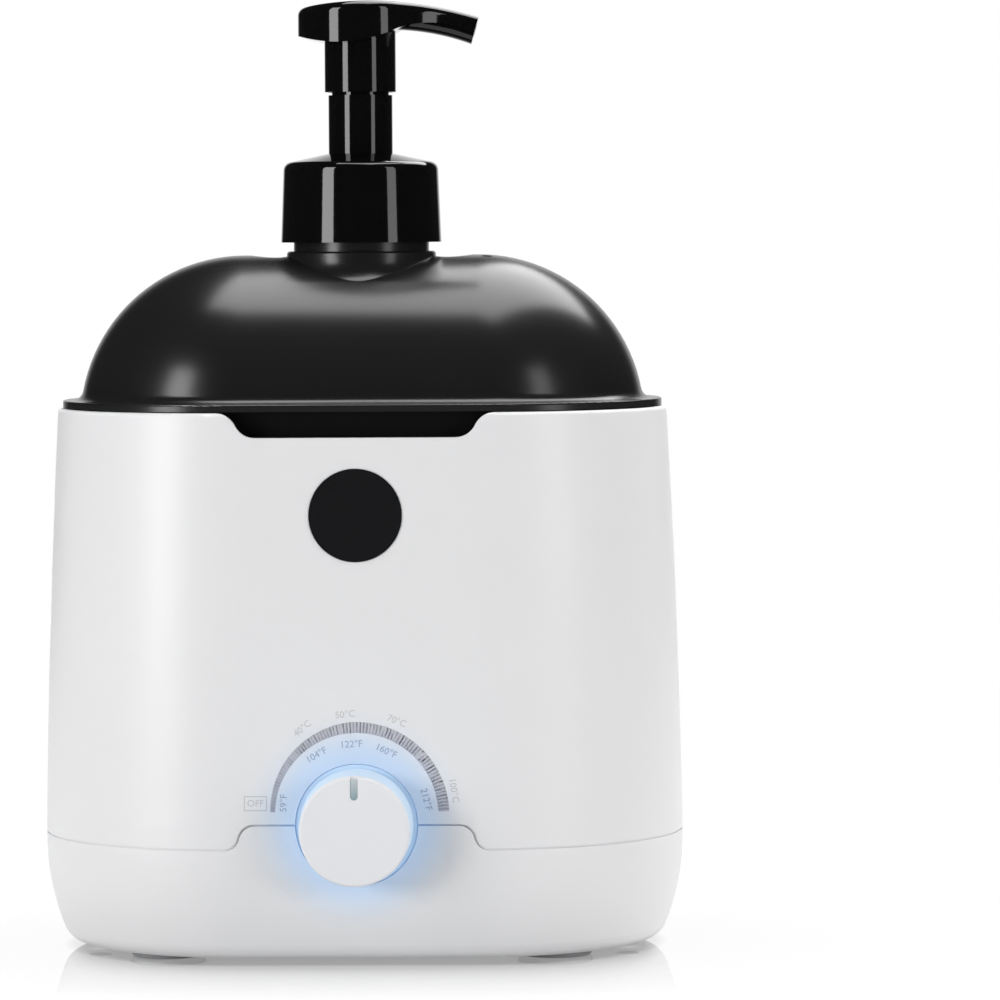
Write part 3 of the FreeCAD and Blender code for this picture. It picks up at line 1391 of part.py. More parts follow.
def head_plan():
    """The pump head from above: a disc that blends into a tapering nozzle."""
    reach, end = "(head_radius + nozzle_blend)", "(nozzle_reach + head_over)"
    line_x = f"({end} + nozzle_blend * sin(nozzle_taper))"
    line_y = "(nozzle_half + nozzle_blend * cos(nozzle_taper))"
    along = f"({line_x} * cos(nozzle_taper) - {line_y} * sin(nozzle_taper))"
    back = f"({along} - sqrt({along}^2 - {line_x}^2 - {line_y}^2 + {reach}^2))"
    blend_x = f"({line_x} - {back} * cos(nozzle_taper))"
    blend_y = f"({line_y} + {back} * sin(nozzle_taper))"
    side_x = f"({blend_x} - nozzle_blend * sin(nozzle_taper))"
    side_y = f"({blend_y} - nozzle_blend * cos(nozzle_taper))"
    disc_x, disc_y = f"({blend_x} * head_radius / {reach})", f"({blend_y} * head_radius / {reach})"
    return [
        (end, "-1 * nozzle_half"),
        (end, "nozzle_half"),
        (side_x, side_y, "-1 * nozzle_blend"),
        (disc_x, disc_y, "head_radius"),
        ("-1 * head_radius", "0", "head_radius"),
        (disc_x, f"-1 * {disc_y}", "-1 * nozzle_blend"),
        (side_x, f"-1 * {side_y}"),
    ]


def upper_rim(shape):
    """Names of the edges between the head's side wall and its crown, without the one across the
    nozzle's tip."""
    names = []
    for number, edge in enumerate(shape.Edges, start=1):
        middle = edge.valueAt((edge.FirstParameter + edge.LastParameter) / 2)
        slopes = [face.normalAt(*face.Surface.parameter(middle)).z
                  for face in shape.ancestorsOfType(edge, Part.Face)]
        on_rim = len(slopes) == 2 and min(map(abs, slopes)) < 0.3 and max(slopes) > 0.6
        if on_rim and edge.BoundBox.XLength > value("fit_gap"):
            names.append(f"Edge{number}")
    return names


def spout_edges(shape):
    """Names of the two long edges along the spout's bottom."""
    names = []
    for number, edge in enumerate(shape.Edges, start=1):
        bounds = edge.BoundBox
        lengthwise = bounds.YLength < value("fit_gap") and bounds.XLength > value("spout_half")
        if lengthwise and bounds.ZMin < value(HEAD_BASE):
            names.append(f"Edge{number}")
    return names


def rounded(body, pick, radius):
    """Rounds the edges that pick finds on the body so far."""
    doc.recompute()
    last = body.Tip
    fillet = body.newObject("PartDesign::Fillet", "rounded")
    fillet.Base = (last, pick(last.Shape))
    link(fillet, "Radius", radius)


def make_pump_head():
    body = new_body("pump_head")
    spout = new_sketch(body, "XZ_Plane", [spout_side()])
    extruded(body, spout, "2 * spout_half", both_ways=True)
    rounded(body, spout_edges, "spout_edge")
    canopy = new_sketch(body, "XZ_Plane", [canopy_side()])
    extruded(body, canopy, "2 * head_radius + cut_margin", both_ways=True)
    far = "(nozzle_reach + head_radius)"
    around_plan = [box(f"-1 * {far}", f"-1 * {far}", far, far), head_plan()]
    between(body, "XY_Plane", around_plan, f"{HEAD_BASE} - cut_margin",
            f"{HEAD_BASE} + head_rise + cut_margin", cut=True)
    rounded(body, upper_rim, "head_edge")
    skirt_top = f"{HEAD_CEILING} + socket_gap"
    between(body, "XY_Plane", [("0", "0", f"{COLLAR_HOLE} + skirt_wall")], SKIRT_LOW, skirt_top)
    duct_top = f"({HEAD_BASE} + duct_rise)"
    inside = [
        ("0", f"{SKIRT_LOW} - cut_margin"),
        (COLLAR_HOLE, f"{SKIRT_LOW} - cut_margin"),
        (COLLAR_HOLE, HEAD_CEILING),
        (SOCKET_OUTSIDE, HEAD_CEILING),
        (SOCKET_OUTSIDE, SOCKET_LOW),
        (STEM_SOCKET, SOCKET_LOW),
        (STEM_SOCKET, STEM_TOP),
        ("duct_radius", STEM_TOP),
        ("duct_radius", duct_top),
        ("0", duct_top),
    ]
    turned(body, new_sketch(body, "XZ_Plane", [inside]), cut=True)
    outlet = new_sketch(body, "YZ_Plane", [("0", "0", "duct_radius")], ("0", duct_top, "0"),
                        tilt="duct_fall")
    extruded(body, outlet, "nozzle_reach + cut_margin", cut=True, backwards=True)


# --------------------------------------------------------------------------- build
make_upper_housing()
make_base_shell()
make_badge()
make_feet()
make_screws("base_screws", BOSS_PLACES, "screw_seat", False, "screw_length")
make_inner_frame()
make_tank()
make_insulation_sleeve()
make_heater_plate()
make_heating_element()
make_plate_nuts()
make_thermal_fuse()
make_fuse_clip()
make_sensing_bulb()
make_light_ring()
make_led_board()
make_leds()
make_mounting_bracket()
make_screws("bracket_screws", POST_PLACES, "(bracket_low + bracket_sheet)", True,
            "(bracket_low - base_bottom - 2 * shell_wall)")
make_thermostat_body()
make_thermostat_nut()
make_thermostat_shaft()
make_knob()
make_knob_pointer()
make_power_inlet()
make_inlet_pins()
make_wires()
make_lid_dome()
make_lid_seal()
make_pump_collar()
make_pump_gasket()
make_pump_housing()
make_chaplet()
make_suction_ball()
make_dip_tube()
make_pump_stem()
make_air_piston()
make_liquid_piston()
make_mesh_holder()
make_return_spring()
make_pump_head()
doc.recompute()

for thing in doc.Objects:
    if "Invalid" in thing.State or "Error" in thing.State:
        raise RuntimeError(f"{thing.Label} did not build: {thing.State}")
for part in parts:
    if part.Shape.isNull() or not part.Shape.isValid():
        raise RuntimeError(f"{part.Label} has no valid shape")

os.makedirs("parts", exist_ok=True)
for part in parts:
    part.Shape.exportStep(f"parts/{part.Label}.step")
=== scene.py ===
"""Looks of the hot lather machine: materials, the printed temperature scale, the tongue in the
shells' joint, the pump's spring, the studio and the camera.

Lengths are in metres, written as millimetres times MM. The printed scale is laid out in plain
millimetres, across and up the front wall. Colours are linear."""
import json
import math

import bmesh
import bpy
from mathutils import Matrix, Vector
from mathutils.bvhtree import BVHTree


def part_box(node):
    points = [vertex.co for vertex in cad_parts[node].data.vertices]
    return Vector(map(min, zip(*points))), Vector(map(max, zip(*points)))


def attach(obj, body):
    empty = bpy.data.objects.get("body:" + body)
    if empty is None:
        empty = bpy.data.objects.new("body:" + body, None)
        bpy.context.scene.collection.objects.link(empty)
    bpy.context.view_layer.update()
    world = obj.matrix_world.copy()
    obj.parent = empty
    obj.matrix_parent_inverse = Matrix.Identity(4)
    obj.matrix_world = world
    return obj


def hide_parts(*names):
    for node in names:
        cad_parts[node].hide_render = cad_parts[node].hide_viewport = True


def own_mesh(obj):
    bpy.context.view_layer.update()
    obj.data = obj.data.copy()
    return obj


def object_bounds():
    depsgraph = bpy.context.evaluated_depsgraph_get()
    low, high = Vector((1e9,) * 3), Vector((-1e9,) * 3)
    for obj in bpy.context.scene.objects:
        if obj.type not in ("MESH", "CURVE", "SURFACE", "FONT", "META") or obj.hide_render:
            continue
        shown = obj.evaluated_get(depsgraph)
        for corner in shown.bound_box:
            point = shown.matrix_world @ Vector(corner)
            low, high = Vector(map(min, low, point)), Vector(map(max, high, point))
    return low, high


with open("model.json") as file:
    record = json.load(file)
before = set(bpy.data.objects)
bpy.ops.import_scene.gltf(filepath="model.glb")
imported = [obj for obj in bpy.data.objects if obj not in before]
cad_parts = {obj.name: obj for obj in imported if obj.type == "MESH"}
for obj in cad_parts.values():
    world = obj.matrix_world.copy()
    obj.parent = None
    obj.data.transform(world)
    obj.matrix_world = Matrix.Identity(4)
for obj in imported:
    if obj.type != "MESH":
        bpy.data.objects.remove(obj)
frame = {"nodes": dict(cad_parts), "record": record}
CAD_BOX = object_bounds()
NODES = frame["nodes"]
MM = 0.001


# --------------------------------------------------------------------------- measures
def middle(name):
    low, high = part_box(name)
    return (low + high) / 2


KNOB = middle("knob")
KNOB_RADIUS = (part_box("knob")[1].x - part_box("knob")[0].x) / 2
KNOB_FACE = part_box("knob")[0].y
PUMP = middle("pump_collar")


# --------------------------------------------------------------------------- shader helpers
def new_material(name):
    material = bpy.data.materials.new(name)
    material.use_nodes = True
    tree = material.node_tree
    shader = tree.nodes["Principled BSDF"]
    return material, tree, shader


def node(tree, kind, **settings):
    made = tree.nodes.new(kind)
    for name, setting in settings.items():
        setattr(made, name, setting)
    return made


def feed(tree, socket, source):
    """Gives a socket a plain value, or links another node's output to it."""
    if isinstance(source, bpy.types.NodeSocket):
        tree.links.new(source, socket)
    else:
        socket.default_value = source


def maths(tree, operation, *values):
    made = node(tree, "ShaderNodeMath", operation=operation)
    for socket, value in zip(made.inputs, values):
        feed(tree, socket, value)
    return made.outputs[0]


def vector_maths(tree, operation, first, second=None):
    made = node(tree, "ShaderNodeVectorMath", operation=operation)
    feed(tree, made.inputs[0], first)
    if second is not None:
        feed(tree, made.inputs[1], second)
    return made.outputs["Vector" if operation == "SUBTRACT" else "Value"]


def mapped(tree, value, low, high, to_low=0.0, to_high=1.0, smooth=False):
    made = node(tree, "ShaderNodeMapRange")
    if smooth:
        made.interpolation_type = "SMOOTHSTEP"
    for name, number in (("From Min", low), ("From Max", high), ("To Min", to_low),
                         ("To Max", to_high)):
        made.inputs[name].default_value = number
    feed(tree, made.inputs["Value"], value)
    return made.outputs["Result"]


def mixed(tree, factor, first, second):
    made = node(tree, "ShaderNodeMix", data_type="RGBA")
    feed(tree, made.inputs["Factor"], factor)
    feed(tree, made.inputs["A"], first)
    feed(tree, made.inputs["B"], second)
    return made.outputs["Result"]


def mixed_shader(tree, factor, first, second):
    made = node(tree, "ShaderNodeMixShader")
    feed(tree, made.inputs[0], factor)
    tree.links.new(first.outputs[0], made.inputs[1])
    tree.links.new(second.outputs[0], made.inputs[2])
    return made


def added_shader(tree, first, second):
    made = node(tree, "ShaderNodeAddShader")
    tree.links.new(first.outputs[0], made.inputs[0])
    tree.links.new(second.outputs[0], made.inputs[1])
    return made


def diffuse(tree, level):
    made = node(tree, "ShaderNodeBsdfDiffuse")
    made.inputs["Color"].default_value = (level, level, level, 1)
    return made


def emission(tree, strength):
    made = node(tree, "ShaderNodeEmission")
    feed(tree, made.inputs["Strength"], strength)
    return made


def place(tree):
    """Position in the object's own frame, in metres."""
    return node(tree, "ShaderNodeTexCoord").outputs["Object"]


def split(tree, vector):
    """The X, Y and Z of a vector."""
    made = node(tree, "ShaderNodeSeparateXYZ")
    tree.links.new(vector, made.inputs[0])
    return made.outputs


def stretched(tree, vector, scale):
    made = node(tree, "ShaderNodeMapping")
    feed(tree, made.inputs["Vector"], vector)
    made.inputs["Scale"].default_value = scale
    return made.outputs["Vector"]


def noise(tree, vector, grain, detail=2.0, roughness=0.5):
    """Noise whose lumps are about this many metres across."""
    made = node(tree, "ShaderNodeTexNoise")
    feed(tree, made.inputs["Vector"], vector)
    made.inputs["Scale"].default_value = 1.0 / grain
    made.inputs["Detail"].default_value = detail
    made.inputs["Roughness"].default_value = roughness
    return made.outputs["Fac"]


def bumped(tree, shader, height, depth):
    made = node(tree, "ShaderNodeBump")
    made.inputs["Strength"].default_value = 1.0
    made.inputs["Distance"].default_value = depth
    feed(tree, made.inputs["Height"], height)
    tree.links.new(made.outputs["Normal"], shader.inputs["Normal"])


def colour(red, green, blue):
    return (red, green, blue, 1.0)


def shade(tone, factor):
    return tuple(channel * factor for channel in tone[:3]) + (1.0,)


# --------------------------------------------------------------------------- plain surfaces
BLACK = colour(0, 0, 0)
NOISE_SPAN = (0.3, 0.7)                      # where nearly all of a noise's values lie
CLOUD, SHELL_CLOUD = 30 * MM, 40 * MM        # size of the faint clouds in a surface


def surface(name, tone, rough, vary=0.04, rough_vary=0.05, grain=0.6 * MM, depth=0.004 * MM,
            **sockets):
    """Moulded or machined surface: slightly uneven colour and gloss over a fine grain."""
    material, tree, shader = new_material(name)
    at = place(tree)
    cloud = noise(tree, at, CLOUD, 3.0)
    fine = noise(tree, at, grain, 3.0, 0.6)
    feed(tree, shader.inputs["Base Color"],
         mixed(tree, cloud, shade(tone, 1 - vary), shade(tone, 1 + vary)))
    average = maths(tree, "MULTIPLY", maths(tree, "ADD", cloud, fine), 0.5)
    feed(tree, shader.inputs["Roughness"],
         mapped(tree, average, *NOISE_SPAN, rough - rough_vary, rough + rough_vary))
    bumped(tree, shader, fine, depth)
    for socket, value in sockets.items():
        shader.inputs[socket.replace("_", " ")].default_value = value
    return material


def fleece_material(name, tone):
    """Felted insulation: tangled short fibres."""
    material, tree, shader = new_material(name)
    fibres = noise(tree, stretched(tree, place(tree), (1.0, 1.0, 0.25)), 0.8 * MM, 6.0, 0.7)
    feed(tree, shader.inputs["Base Color"],
         mixed(tree, mapped(tree, fibres, *NOISE_SPAN), shade(tone, 0.72), shade(tone, 1.05)))
    shader.inputs["Roughness"].default_value = 0.95
    shader.inputs["Sheen Weight"].default_value = 0.4
    bumped(tree, shader, fibres, 0.5 * MM)
    return material


def brushed_material(name, tone, rough, lengthwise):
    """Metal drawn or rolled one way."""
    material, tree, shader = new_material(name)
    lines = noise(tree, stretched(tree, place(tree), lengthwise), 0.25 * MM, 4.0, 0.6)
    feed(tree, shader.inputs["Base Color"],
         mixed(tree, lines, shade(tone, 0.9), shade(tone, 1.05)))
    feed(tree, shader.inputs["Roughness"],
         mapped(tree, lines, *NOISE_SPAN, rough - 0.06, rough + 0.08))
    shader.inputs["Metallic"].default_value = 1.0
    bumped(tree, shader, lines, 0.006 * MM)
    return material


def board_material(name):
    """Lacquered circuit board with faint tracks under the lacquer."""
    material, tree, shader = new_material(name)
    tracks = node(tree, "ShaderNodeTexVoronoi", feature="DISTANCE_TO_EDGE", distance="MANHATTAN")
    feed(tree, tracks.inputs["Vector"], place(tree))
    tracks.inputs["Scale"].default_value = 1 / (3.5 * MM)
    line = mapped(tree, tracks.outputs["Distance"], 0.05, 0.12)
    feed(tree, shader.inputs["Base Color"],
         mixed(tree, line, colour(0.09, 0.33, 0.17), colour(0.03, 0.19, 0.09)))
    shader.inputs["Roughness"].default_value = 0.3
    bumped(tree, shader, line, -0.02 * MM)
    return material


def lit_material(name, tone, light, strength, rough):
    """Milky part that gives light of its own."""
    material, tree, shader = new_material(name)
    cloud = noise(tree, place(tree), 4 * MM)
    feed(tree, shader.inputs["Base Color"],
         mixed(tree, cloud, shade(tone, 0.96), shade(tone, 1.03)))
    shader.inputs["Roughness"].default_value = rough
    shader.inputs["Emission Color"].default_value = light
    shader.inputs["Emission Strength"].default_value = strength
    return material


# --------------------------------------------------------------------------- ring's blue light, painted on
WHITE = colour(0.83, 0.83, 0.84)
KNOB_WHITE = colour(0.83, 0.84, 0.865)
GLOW = colour(0.60, 0.73, 0.905)             # painted glow: a white wall's colour where the ring's light is painted in fully
# the white wall's own painted blue glow near the knob
GLOW_LIGHT = colour(0.0, 0.05, 0.14)
GLOW_STRENGTH = 0.35
GLOW_REACH = ((15.5, 1.0), (17.5, 0.96), (20.5, 0.83),      # mm from its middle, share of painted glow
              (23.5, 0.54), (27.0, 0.18), (31.0, 0.0))
GLOW_RISE = 0.8 * MM                         # the painted glow's middle, above the knob's, so less of it falls below
GLOW_SPAN = 32 * MM
FRONT_EDGE = (-20 * MM, -45 * MM)            # y from which the painted glow starts on a wall, and where it is full
# painted glow on the narrow rim of the ring's window
RIM_LIGHT = colour(0.8, 1.2, 1.7)
RIM_WIDTH, RIM_END = 0.6 * MM, 0.7 * MM      # the window's rim with painted glow, outside the knob's radius
# painted blue glow on the knob's side wall, which also lifts that wall where it is shaded
SIDE_LIGHT = colour(0.09, 0.11, 0.09)
SIDE_EDGE = (0.8 * MM, 4 * MM)               # behind the knob's face, where its side takes painted blue glow
SHELL_GRAIN, SHELL_DEPTH = 0.5 * MM, 0.003 * MM


def front_share(tree, along):
    """Nothing at the back, one at the front wall."""
    return mapped(tree, along, *FRONT_EDGE)


def glow_factor(tree, at):
    """How much painted ring light tints a point, from its distance to the knob's axis."""
    parts = split(tree, at)
    aside = maths(tree, "SUBTRACT", parts["X"], KNOB.x)
    above = maths(tree, "SUBTRACT", parts["Z"], KNOB.z + GLOW_RISE)
    squares = maths(tree, "ADD", maths(tree, "MULTIPLY", aside, aside),
                    maths(tree, "MULTIPLY", above, above))
    distance = maths(tree, "SQRT", squares)
    ramp = node(tree, "ShaderNodeValToRGB")
    ramp.color_ramp.interpolation = "B_SPLINE"
    elements = ramp.color_ramp.elements
    while len(elements) < len(GLOW_REACH):
        elements.new(0.5)
    for element, (reach, level) in zip(elements, GLOW_REACH):
        element.position = reach * MM / GLOW_SPAN
        element.color = (level, level, level, 1)
    feed(tree, ramp.inputs[0], maths(tree, "DIVIDE", distance, GLOW_SPAN))
    return maths(tree, "MULTIPLY", ramp.outputs["Color"], front_share(tree, parts["Y"]))


def window_rim(tree, at):
    """One on the narrow edge of the ring's window, where the ring's light is painted on as a
    glow.
    """
    parts = split(tree, at)
    flat = node(tree, "ShaderNodeCombineXYZ")
    tree.links.new(parts["X"], flat.inputs["X"])
    tree.links.new(parts["Z"], flat.inputs["Z"])
    away = vector_maths(tree, "DISTANCE", flat.outputs[0], (KNOB.x, 0, KNOB.z))
    near = mapped(tree, away, KNOB_RADIUS + RIM_WIDTH, KNOB_RADIUS + RIM_END, 1.0, 0.0)
    return maths(tree, "MULTIPLY", near, front_share(tree, parts["Y"]))


def glowing(name, tone, rough, lit):
    """White or printed surface with the ring's blue light painted on near the knob, in its colour
    and as a glow of its own.
    """
    material, tree, shader = new_material(name)
    at = place(tree)
    factor = glow_factor(tree, at)
    cloud = noise(tree, at, SHELL_CLOUD, 3.0)
    fine = noise(tree, at, SHELL_GRAIN, 3.0, 0.6)
    base = mixed(tree, cloud, shade(tone, 0.985), shade(tone, 1.015))
    feed(tree, shader.inputs["Base Color"], mixed(tree, factor, base, lit))
    feed(tree, shader.inputs["Roughness"],
         mapped(tree, fine, *NOISE_SPAN, rough - 0.03, rough + 0.03))
    bumped(tree, shader, fine, SHELL_DEPTH)
    blue = mixed(tree, factor, BLACK, GLOW_LIGHT)
    feed(tree, shader.inputs["Emission Color"],
         mixed(tree, window_rim(tree, at), blue, RIM_LIGHT))
    shader.inputs["Emission Strength"].default_value = GLOW_STRENGTH
    return material


def knob_material(name):
    """White moulding whose side wall, behind the rounded face edge, has the ring's blue light
    painted on, in its colour and as a glow.
    """
    material, tree, shader = new_material(name)
    at = place(tree)
    behind = mapped(tree, split(tree, at)["Y"], KNOB_FACE + SIDE_EDGE[0],
                    KNOB_FACE + SIDE_EDGE[1], smooth=True)
    cloud = noise(tree, at, CLOUD, 3.0)
    fine = noise(tree, at, SHELL_GRAIN, 3.0, 0.6)
    base = mixed(tree, cloud, shade(KNOB_WHITE, 0.99), shade(KNOB_WHITE, 1.01))
    feed(tree, shader.inputs["Base Color"], mixed(tree, behind, base, GLOW))
    feed(tree, shader.inputs["Roughness"], mapped(tree, fine, *NOISE_SPAN, 0.37, 0.43))
    bumped(tree, shader, fine, SHELL_DEPTH)
    feed(tree, shader.inputs["Emission Color"], mixed(tree, behind, BLACK, SIDE_LIGHT))
    shader.inputs["Emission Strength"].default_value = 1.0
    return material


def pointer_material(name):
    """Glossy grey slip in the knob, paler towards the knob's edge."""
    material, tree, shader = new_material(name)
    at = place(tree)
    low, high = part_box("knob_pointer")
    along = mapped(tree, split(tree, at)["Z"], low.z, high.z)
    feed(tree, shader.inputs["Base Color"],
         mixed(tree, along, colour(0.25, 0.36, 0.40), colour(0.58, 0.64, 0.66)))
    shader.inputs["Roughness"].default_value = 0.25
    bumped(tree, shader, noise(tree, at, 0.4 * MM), 0.003 * MM)
    return material


# --------------------------------------------------------------------------- materials
def metal(name, tone, rough, vary=0.06, rough_vary=0.06, **more):
    return surface(name, tone, rough, vary, rough_vary, Metallic=1.0, **more)


# Most are named after the record's slot that they serve, and two after a node of their own.
MATERIALS = {
    "white_shell": glowing("white_abs", WHITE, 0.36, GLOW),
    "black_satin": surface("black_lid", colour(0.011, 0.011, 0.0115), 0.24, rough_vary=0.012,
                           grain=0.5 * MM, depth=0.0006 * MM),
    "black_gloss": surface("black_gloss", colour(0.003, 0.003, 0.0034), 0.06, 0.1, 0.015,
                           3 * MM, 0.004 * MM),
    "black_frame": surface("black_frame", colour(0.002, 0.002, 0.0022), 0.6, 0.1,
                           Specular_IOR_Level=0.15),
    "foot_rubber": surface("foot_rubber", colour(0.30, 0.30, 0.31), 0.7, 0.08, 0.06,
                           0.4 * MM, 0.03 * MM),
    "zinc_steel": metal("zinc_steel", colour(0.62, 0.63, 0.66), 0.32, grain=0.3 * MM,
                        depth=0.01 * MM),
    "tank_steel": brushed_material("tank_steel", colour(0.66, 0.66, 0.65), 0.28,
                                   (0.02, 0.02, 1.0)),
    "sleeve_fleece": fleece_material("sleeve_fleece", colour(0.78, 0.76, 0.70)),
    "heater_cast": metal("heater_cast", colour(0.55, 0.56, 0.57), 0.5, 0.08, 0.08,
                         grain=0.8 * MM, depth=0.05 * MM),
    "copper": metal("copper", colour(0.80, 0.42, 0.27), 0.3, 0.08),
    "ring_milk": lit_material("ring_milk", colour(0.58, 0.72, 0.90), colour(0.40, 0.68, 1.0),
                              0.14, 0.6),
    "board_green": board_material("board_green"),
    "led_white": lit_material("led_lens", colour(0.9, 0.9, 0.75), colour(0.70, 0.85, 1.0),
                              3.0, 0.2),
    "brass_nut": metal("brass_nut", colour(0.74, 0.55, 0.24), 0.3),
    "pointer_grey": pointer_material("pointer_slip"),
    "wire_brown": surface("wire_brown", colour(0.17, 0.07, 0.03), 0.5, 0.1),
    "wire_blue": surface("wire_blue", colour(0.03, 0.11, 0.42), 0.5, 0.1),
    "seal_grey": surface("seal_grey", colour(0.34, 0.34, 0.35), 0.6, 0.08, 0.06,
                         0.5 * MM, 0.02 * MM),
    "natural_plastic": surface("natural_plastic", colour(0.86, 0.87, 0.86), 0.3, 0.03,
                               Transmission_Weight=0.45, IOR=1.5),
    "knob": knob_material("knob_white"),
    "badge_disc": surface("badge_black", colour(0.010, 0.010, 0.011), 0.16, 0.06, 0.02,
                          3 * MM, 0.002 * MM),
}
SLOT_OF = {part["node"]: part["material_slot"] for part in frame["record"]["subparts"]}
for name, thing in NODES.items():
    thing.data.materials.clear()
    thing.data.materials.append(MATERIALS[name if name in MATERIALS else SLOT_OF[name]])


# --------------------------------------------------------------------------- mesh helpers
def to_mesh(build, name):
    mesh = bpy.data.meshes.new(name)
    build.to_mesh(mesh)
    build.free()
    return mesh


def joined(name, meshes):
    build = bmesh.new()
    for mesh in meshes:
        build.from_mesh(mesh)
        bpy.data.meshes.remove(mesh)
    return to_mesh(build, name)


def add_piece(name, mesh, material):
    """A piece of the housing's own looks."""
    mesh.materials.clear()
    mesh.materials.append(material)
    thing = bpy.data.objects.new(name, mesh)
    bpy.context.scene.collection.objects.link(thing)
    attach(thing, "housing")


# --------------------------------------------------------------------------- printed scale
INK_OUT, INK_IN = 0.035 * MM, -0.02 * MM     # the ink's two faces, from the wall's surface
INK_ROUGH = 0.5
# Each ink's last colour is what it turns to where the ring's blue glow is painted on near the
# knob.
PALE_INK = glowing("ink_pale", colour(0.58, 0.58, 0.59), INK_ROUGH, colour(0.46, 0.52, 0.62))
BLUE_INK = glowing("ink_blue", colour(0.30, 0.38, 0.52), INK_ROUGH, colour(0.30, 0.38, 0.52))
GREY_INK = glowing("ink_grey", colour(0.52, 0.505, 0.535), INK_ROUGH, colour(0.33, 0.40, 0.55))
WEDGE_INK = glowing("ink_wedge", colour(0.58, 0.565, 0.59), INK_ROUGH, colour(0.42, 0.47, 0.57))

SCALE_CENTRE = (0.0, 43.4)                   # mm, across and up
WEDGE_INNER = 23.0                           # mm, the arc's inner radius
WEDGE_START, WEDGE_END = 178.0, 2.0          # degrees, from the left end to the right end
WEDGE_THIN, WEDGE_THICK = 1.26, 3.1          # mm, its width at the left, and where it is full
WEDGE_FULL = 95.0                            # angle at which it reaches its full width
WEDGE_STEP, BAR_STEP, BAR_FILL = 2.0, 2.2, 0.45     # degrees, degrees, share of its step

# each word, where its middle is (mm across and up) and its turn in degrees
OUTER_WORDS = [("40°C", -15.1, 67.7, 40), ("50°C", -3.1, 71.6, 5), ("70°C", 11.4, 69.7, -22),
               ("100°C", 27.4, 50.1, -80)]
INNER_WORDS = [("59°F", -20.5, 46.7, 88), ("104°F", -11.2, 60.2, 30), ("122°F", -1.4, 63.2, 3),
               ("160°F", 8.4, 61.3, -25), ("212°F", 19.6, 47.6, -75)]
WORD_HEIGHT = 1.9
CAPITAL = 0.7                                # a capital's height, as a share of the font's size
OFF_BOX = (-31.7, 44.5, -25.2, 48.7)         # left, low, right, high
OFF_LINE = 0.25

wall_mesh = NODES["upper_housing"].data
WALL = BVHTree.FromPolygons([vertex.co.copy() for vertex in wall_mesh.vertices],
                            [tuple(face.vertices) for face in wall_mesh.polygons])


def on_wall(across, up, out):
    """The place on the front wall at this point of the print, a little proud of it."""
    start = Vector((across, CAD_BOX[0].y - 10 * MM, up))
    hit = WALL.ray_cast(start, Vector((0, 1, 0)))[0]
    return Vector((across, hit.y - out, up))


def bar(build, corners):
    """A thin slab of ink between four corners, mm across and up, given anticlockwise."""
    front = [build.verts.new(on_wall(x * MM, z * MM, INK_OUT)) for x, z in corners]
    back = [build.verts.new(on_wall(x * MM, z * MM, INK_IN)) for x, z in corners]
    build.faces.new(front)
    build.faces.new(back[::-1])
    for index in range(len(corners)):
        after = (index + 1) % len(corners)
        build.faces.new((front[index], back[index], back[after], front[after]))


def polar(angle, radius):
    turn = math.radians(angle)
    return (SCALE_CENTRE[0] + radius * math.cos(turn), SCALE_CENTRE[1] + radius * math.sin(turn))


def wedge_width(angle):
    share = min(1.0, (WEDGE_START - angle) / (WEDGE_START - WEDGE_FULL))
    return WEDGE_THIN + (WEDGE_THICK - WEDGE_THIN) * share


def wedge_mesh(name, step, fill):
    """The widening arc, as bars that take this share of each step."""
    build = bmesh.new()
    for index in range(round((WEDGE_START - WEDGE_END) / step)):
        first = WEDGE_START - index * step
        last = first - step * fill
        bar(build, [polar(first, WEDGE_INNER), polar(last, WEDGE_INNER),
                    polar(last, WEDGE_INNER + wedge_width(last)),
                    polar(first, WEDGE_INNER + wedge_width(first))])
    bmesh.ops.remove_doubles(build, verts=build.verts, dist=1e-7)
    bmesh.ops.recalc_face_normals(build, faces=build.faces)
    return to_mesh(build, name)


def word_mesh(text, across, up, turn):
    """Printed characters as thin slabs on the wall."""
    curve = bpy.data.curves.new("characters", "FONT")
    curve.body = text
    curve.size = WORD_HEIGHT / CAPITAL * MM
    curve.align_x, curve.align_y = "CENTER", "CENTER"
    curve.extrude = 0.5
    curve.resolution_u = 3
    holder = bpy.data.objects.new("characters", curve)
    mesh = bpy.data.meshes.new_from_object(holder)
    bpy.data.objects.remove(holder)
    spin = Matrix.Rotation(math.radians(turn), 2)
    for vertex in mesh.vertices:
        flat = spin @ Vector((vertex.co.x, vertex.co.y))
        out = INK_OUT if vertex.co.z > 0 else INK_IN
        vertex.co = on_wall(flat.x + across * MM, flat.y + up * MM, out)
    return mesh


def words_mesh(name, words):
    return joined(name, [word_mesh(*word) for word in words])


def off_mesh(name):
    """The word OFF in its frame."""
    left, low, right, high = OFF_BOX
    build = bmesh.new()
    for x0, z0, x1, z1 in ((left, low, right, low + OFF_LINE),
                           (left, high - OFF_LINE, right, high),
                           (left, low + OFF_LINE, left + OFF_LINE, high - OFF_LINE),
                           (right - OFF_LINE, low + OFF_LINE, right, high - OFF_LINE)):
        bar(build, [(x0, z0), (x1, z0), (x1, z1), (x0, z1)])
    bmesh.ops.recalc_face_normals(build, faces=build.faces)
    return joined(name, [to_mesh(build, "off_frame"),
                         word_mesh("OFF", (left + right) / 2, (low + high) / 2, 0)])


for name, mesh, material in (
        ("scale_wedge", wedge_mesh("scale_wedge", WEDGE_STEP, 1.0), WEDGE_INK),
        ("scale_bars", wedge_mesh("scale_bars", BAR_STEP, BAR_FILL), GREY_INK),
        ("scale_outer_words", words_mesh("scale_outer_words", OUTER_WORDS), PALE_INK),
        ("scale_inner_words", words_mesh("scale_inner_words", INNER_WORDS), BLUE_INK),
        ("off_mark", off_mesh("off_mark"), PALE_INK)):
    add_piece(name, mesh, material)


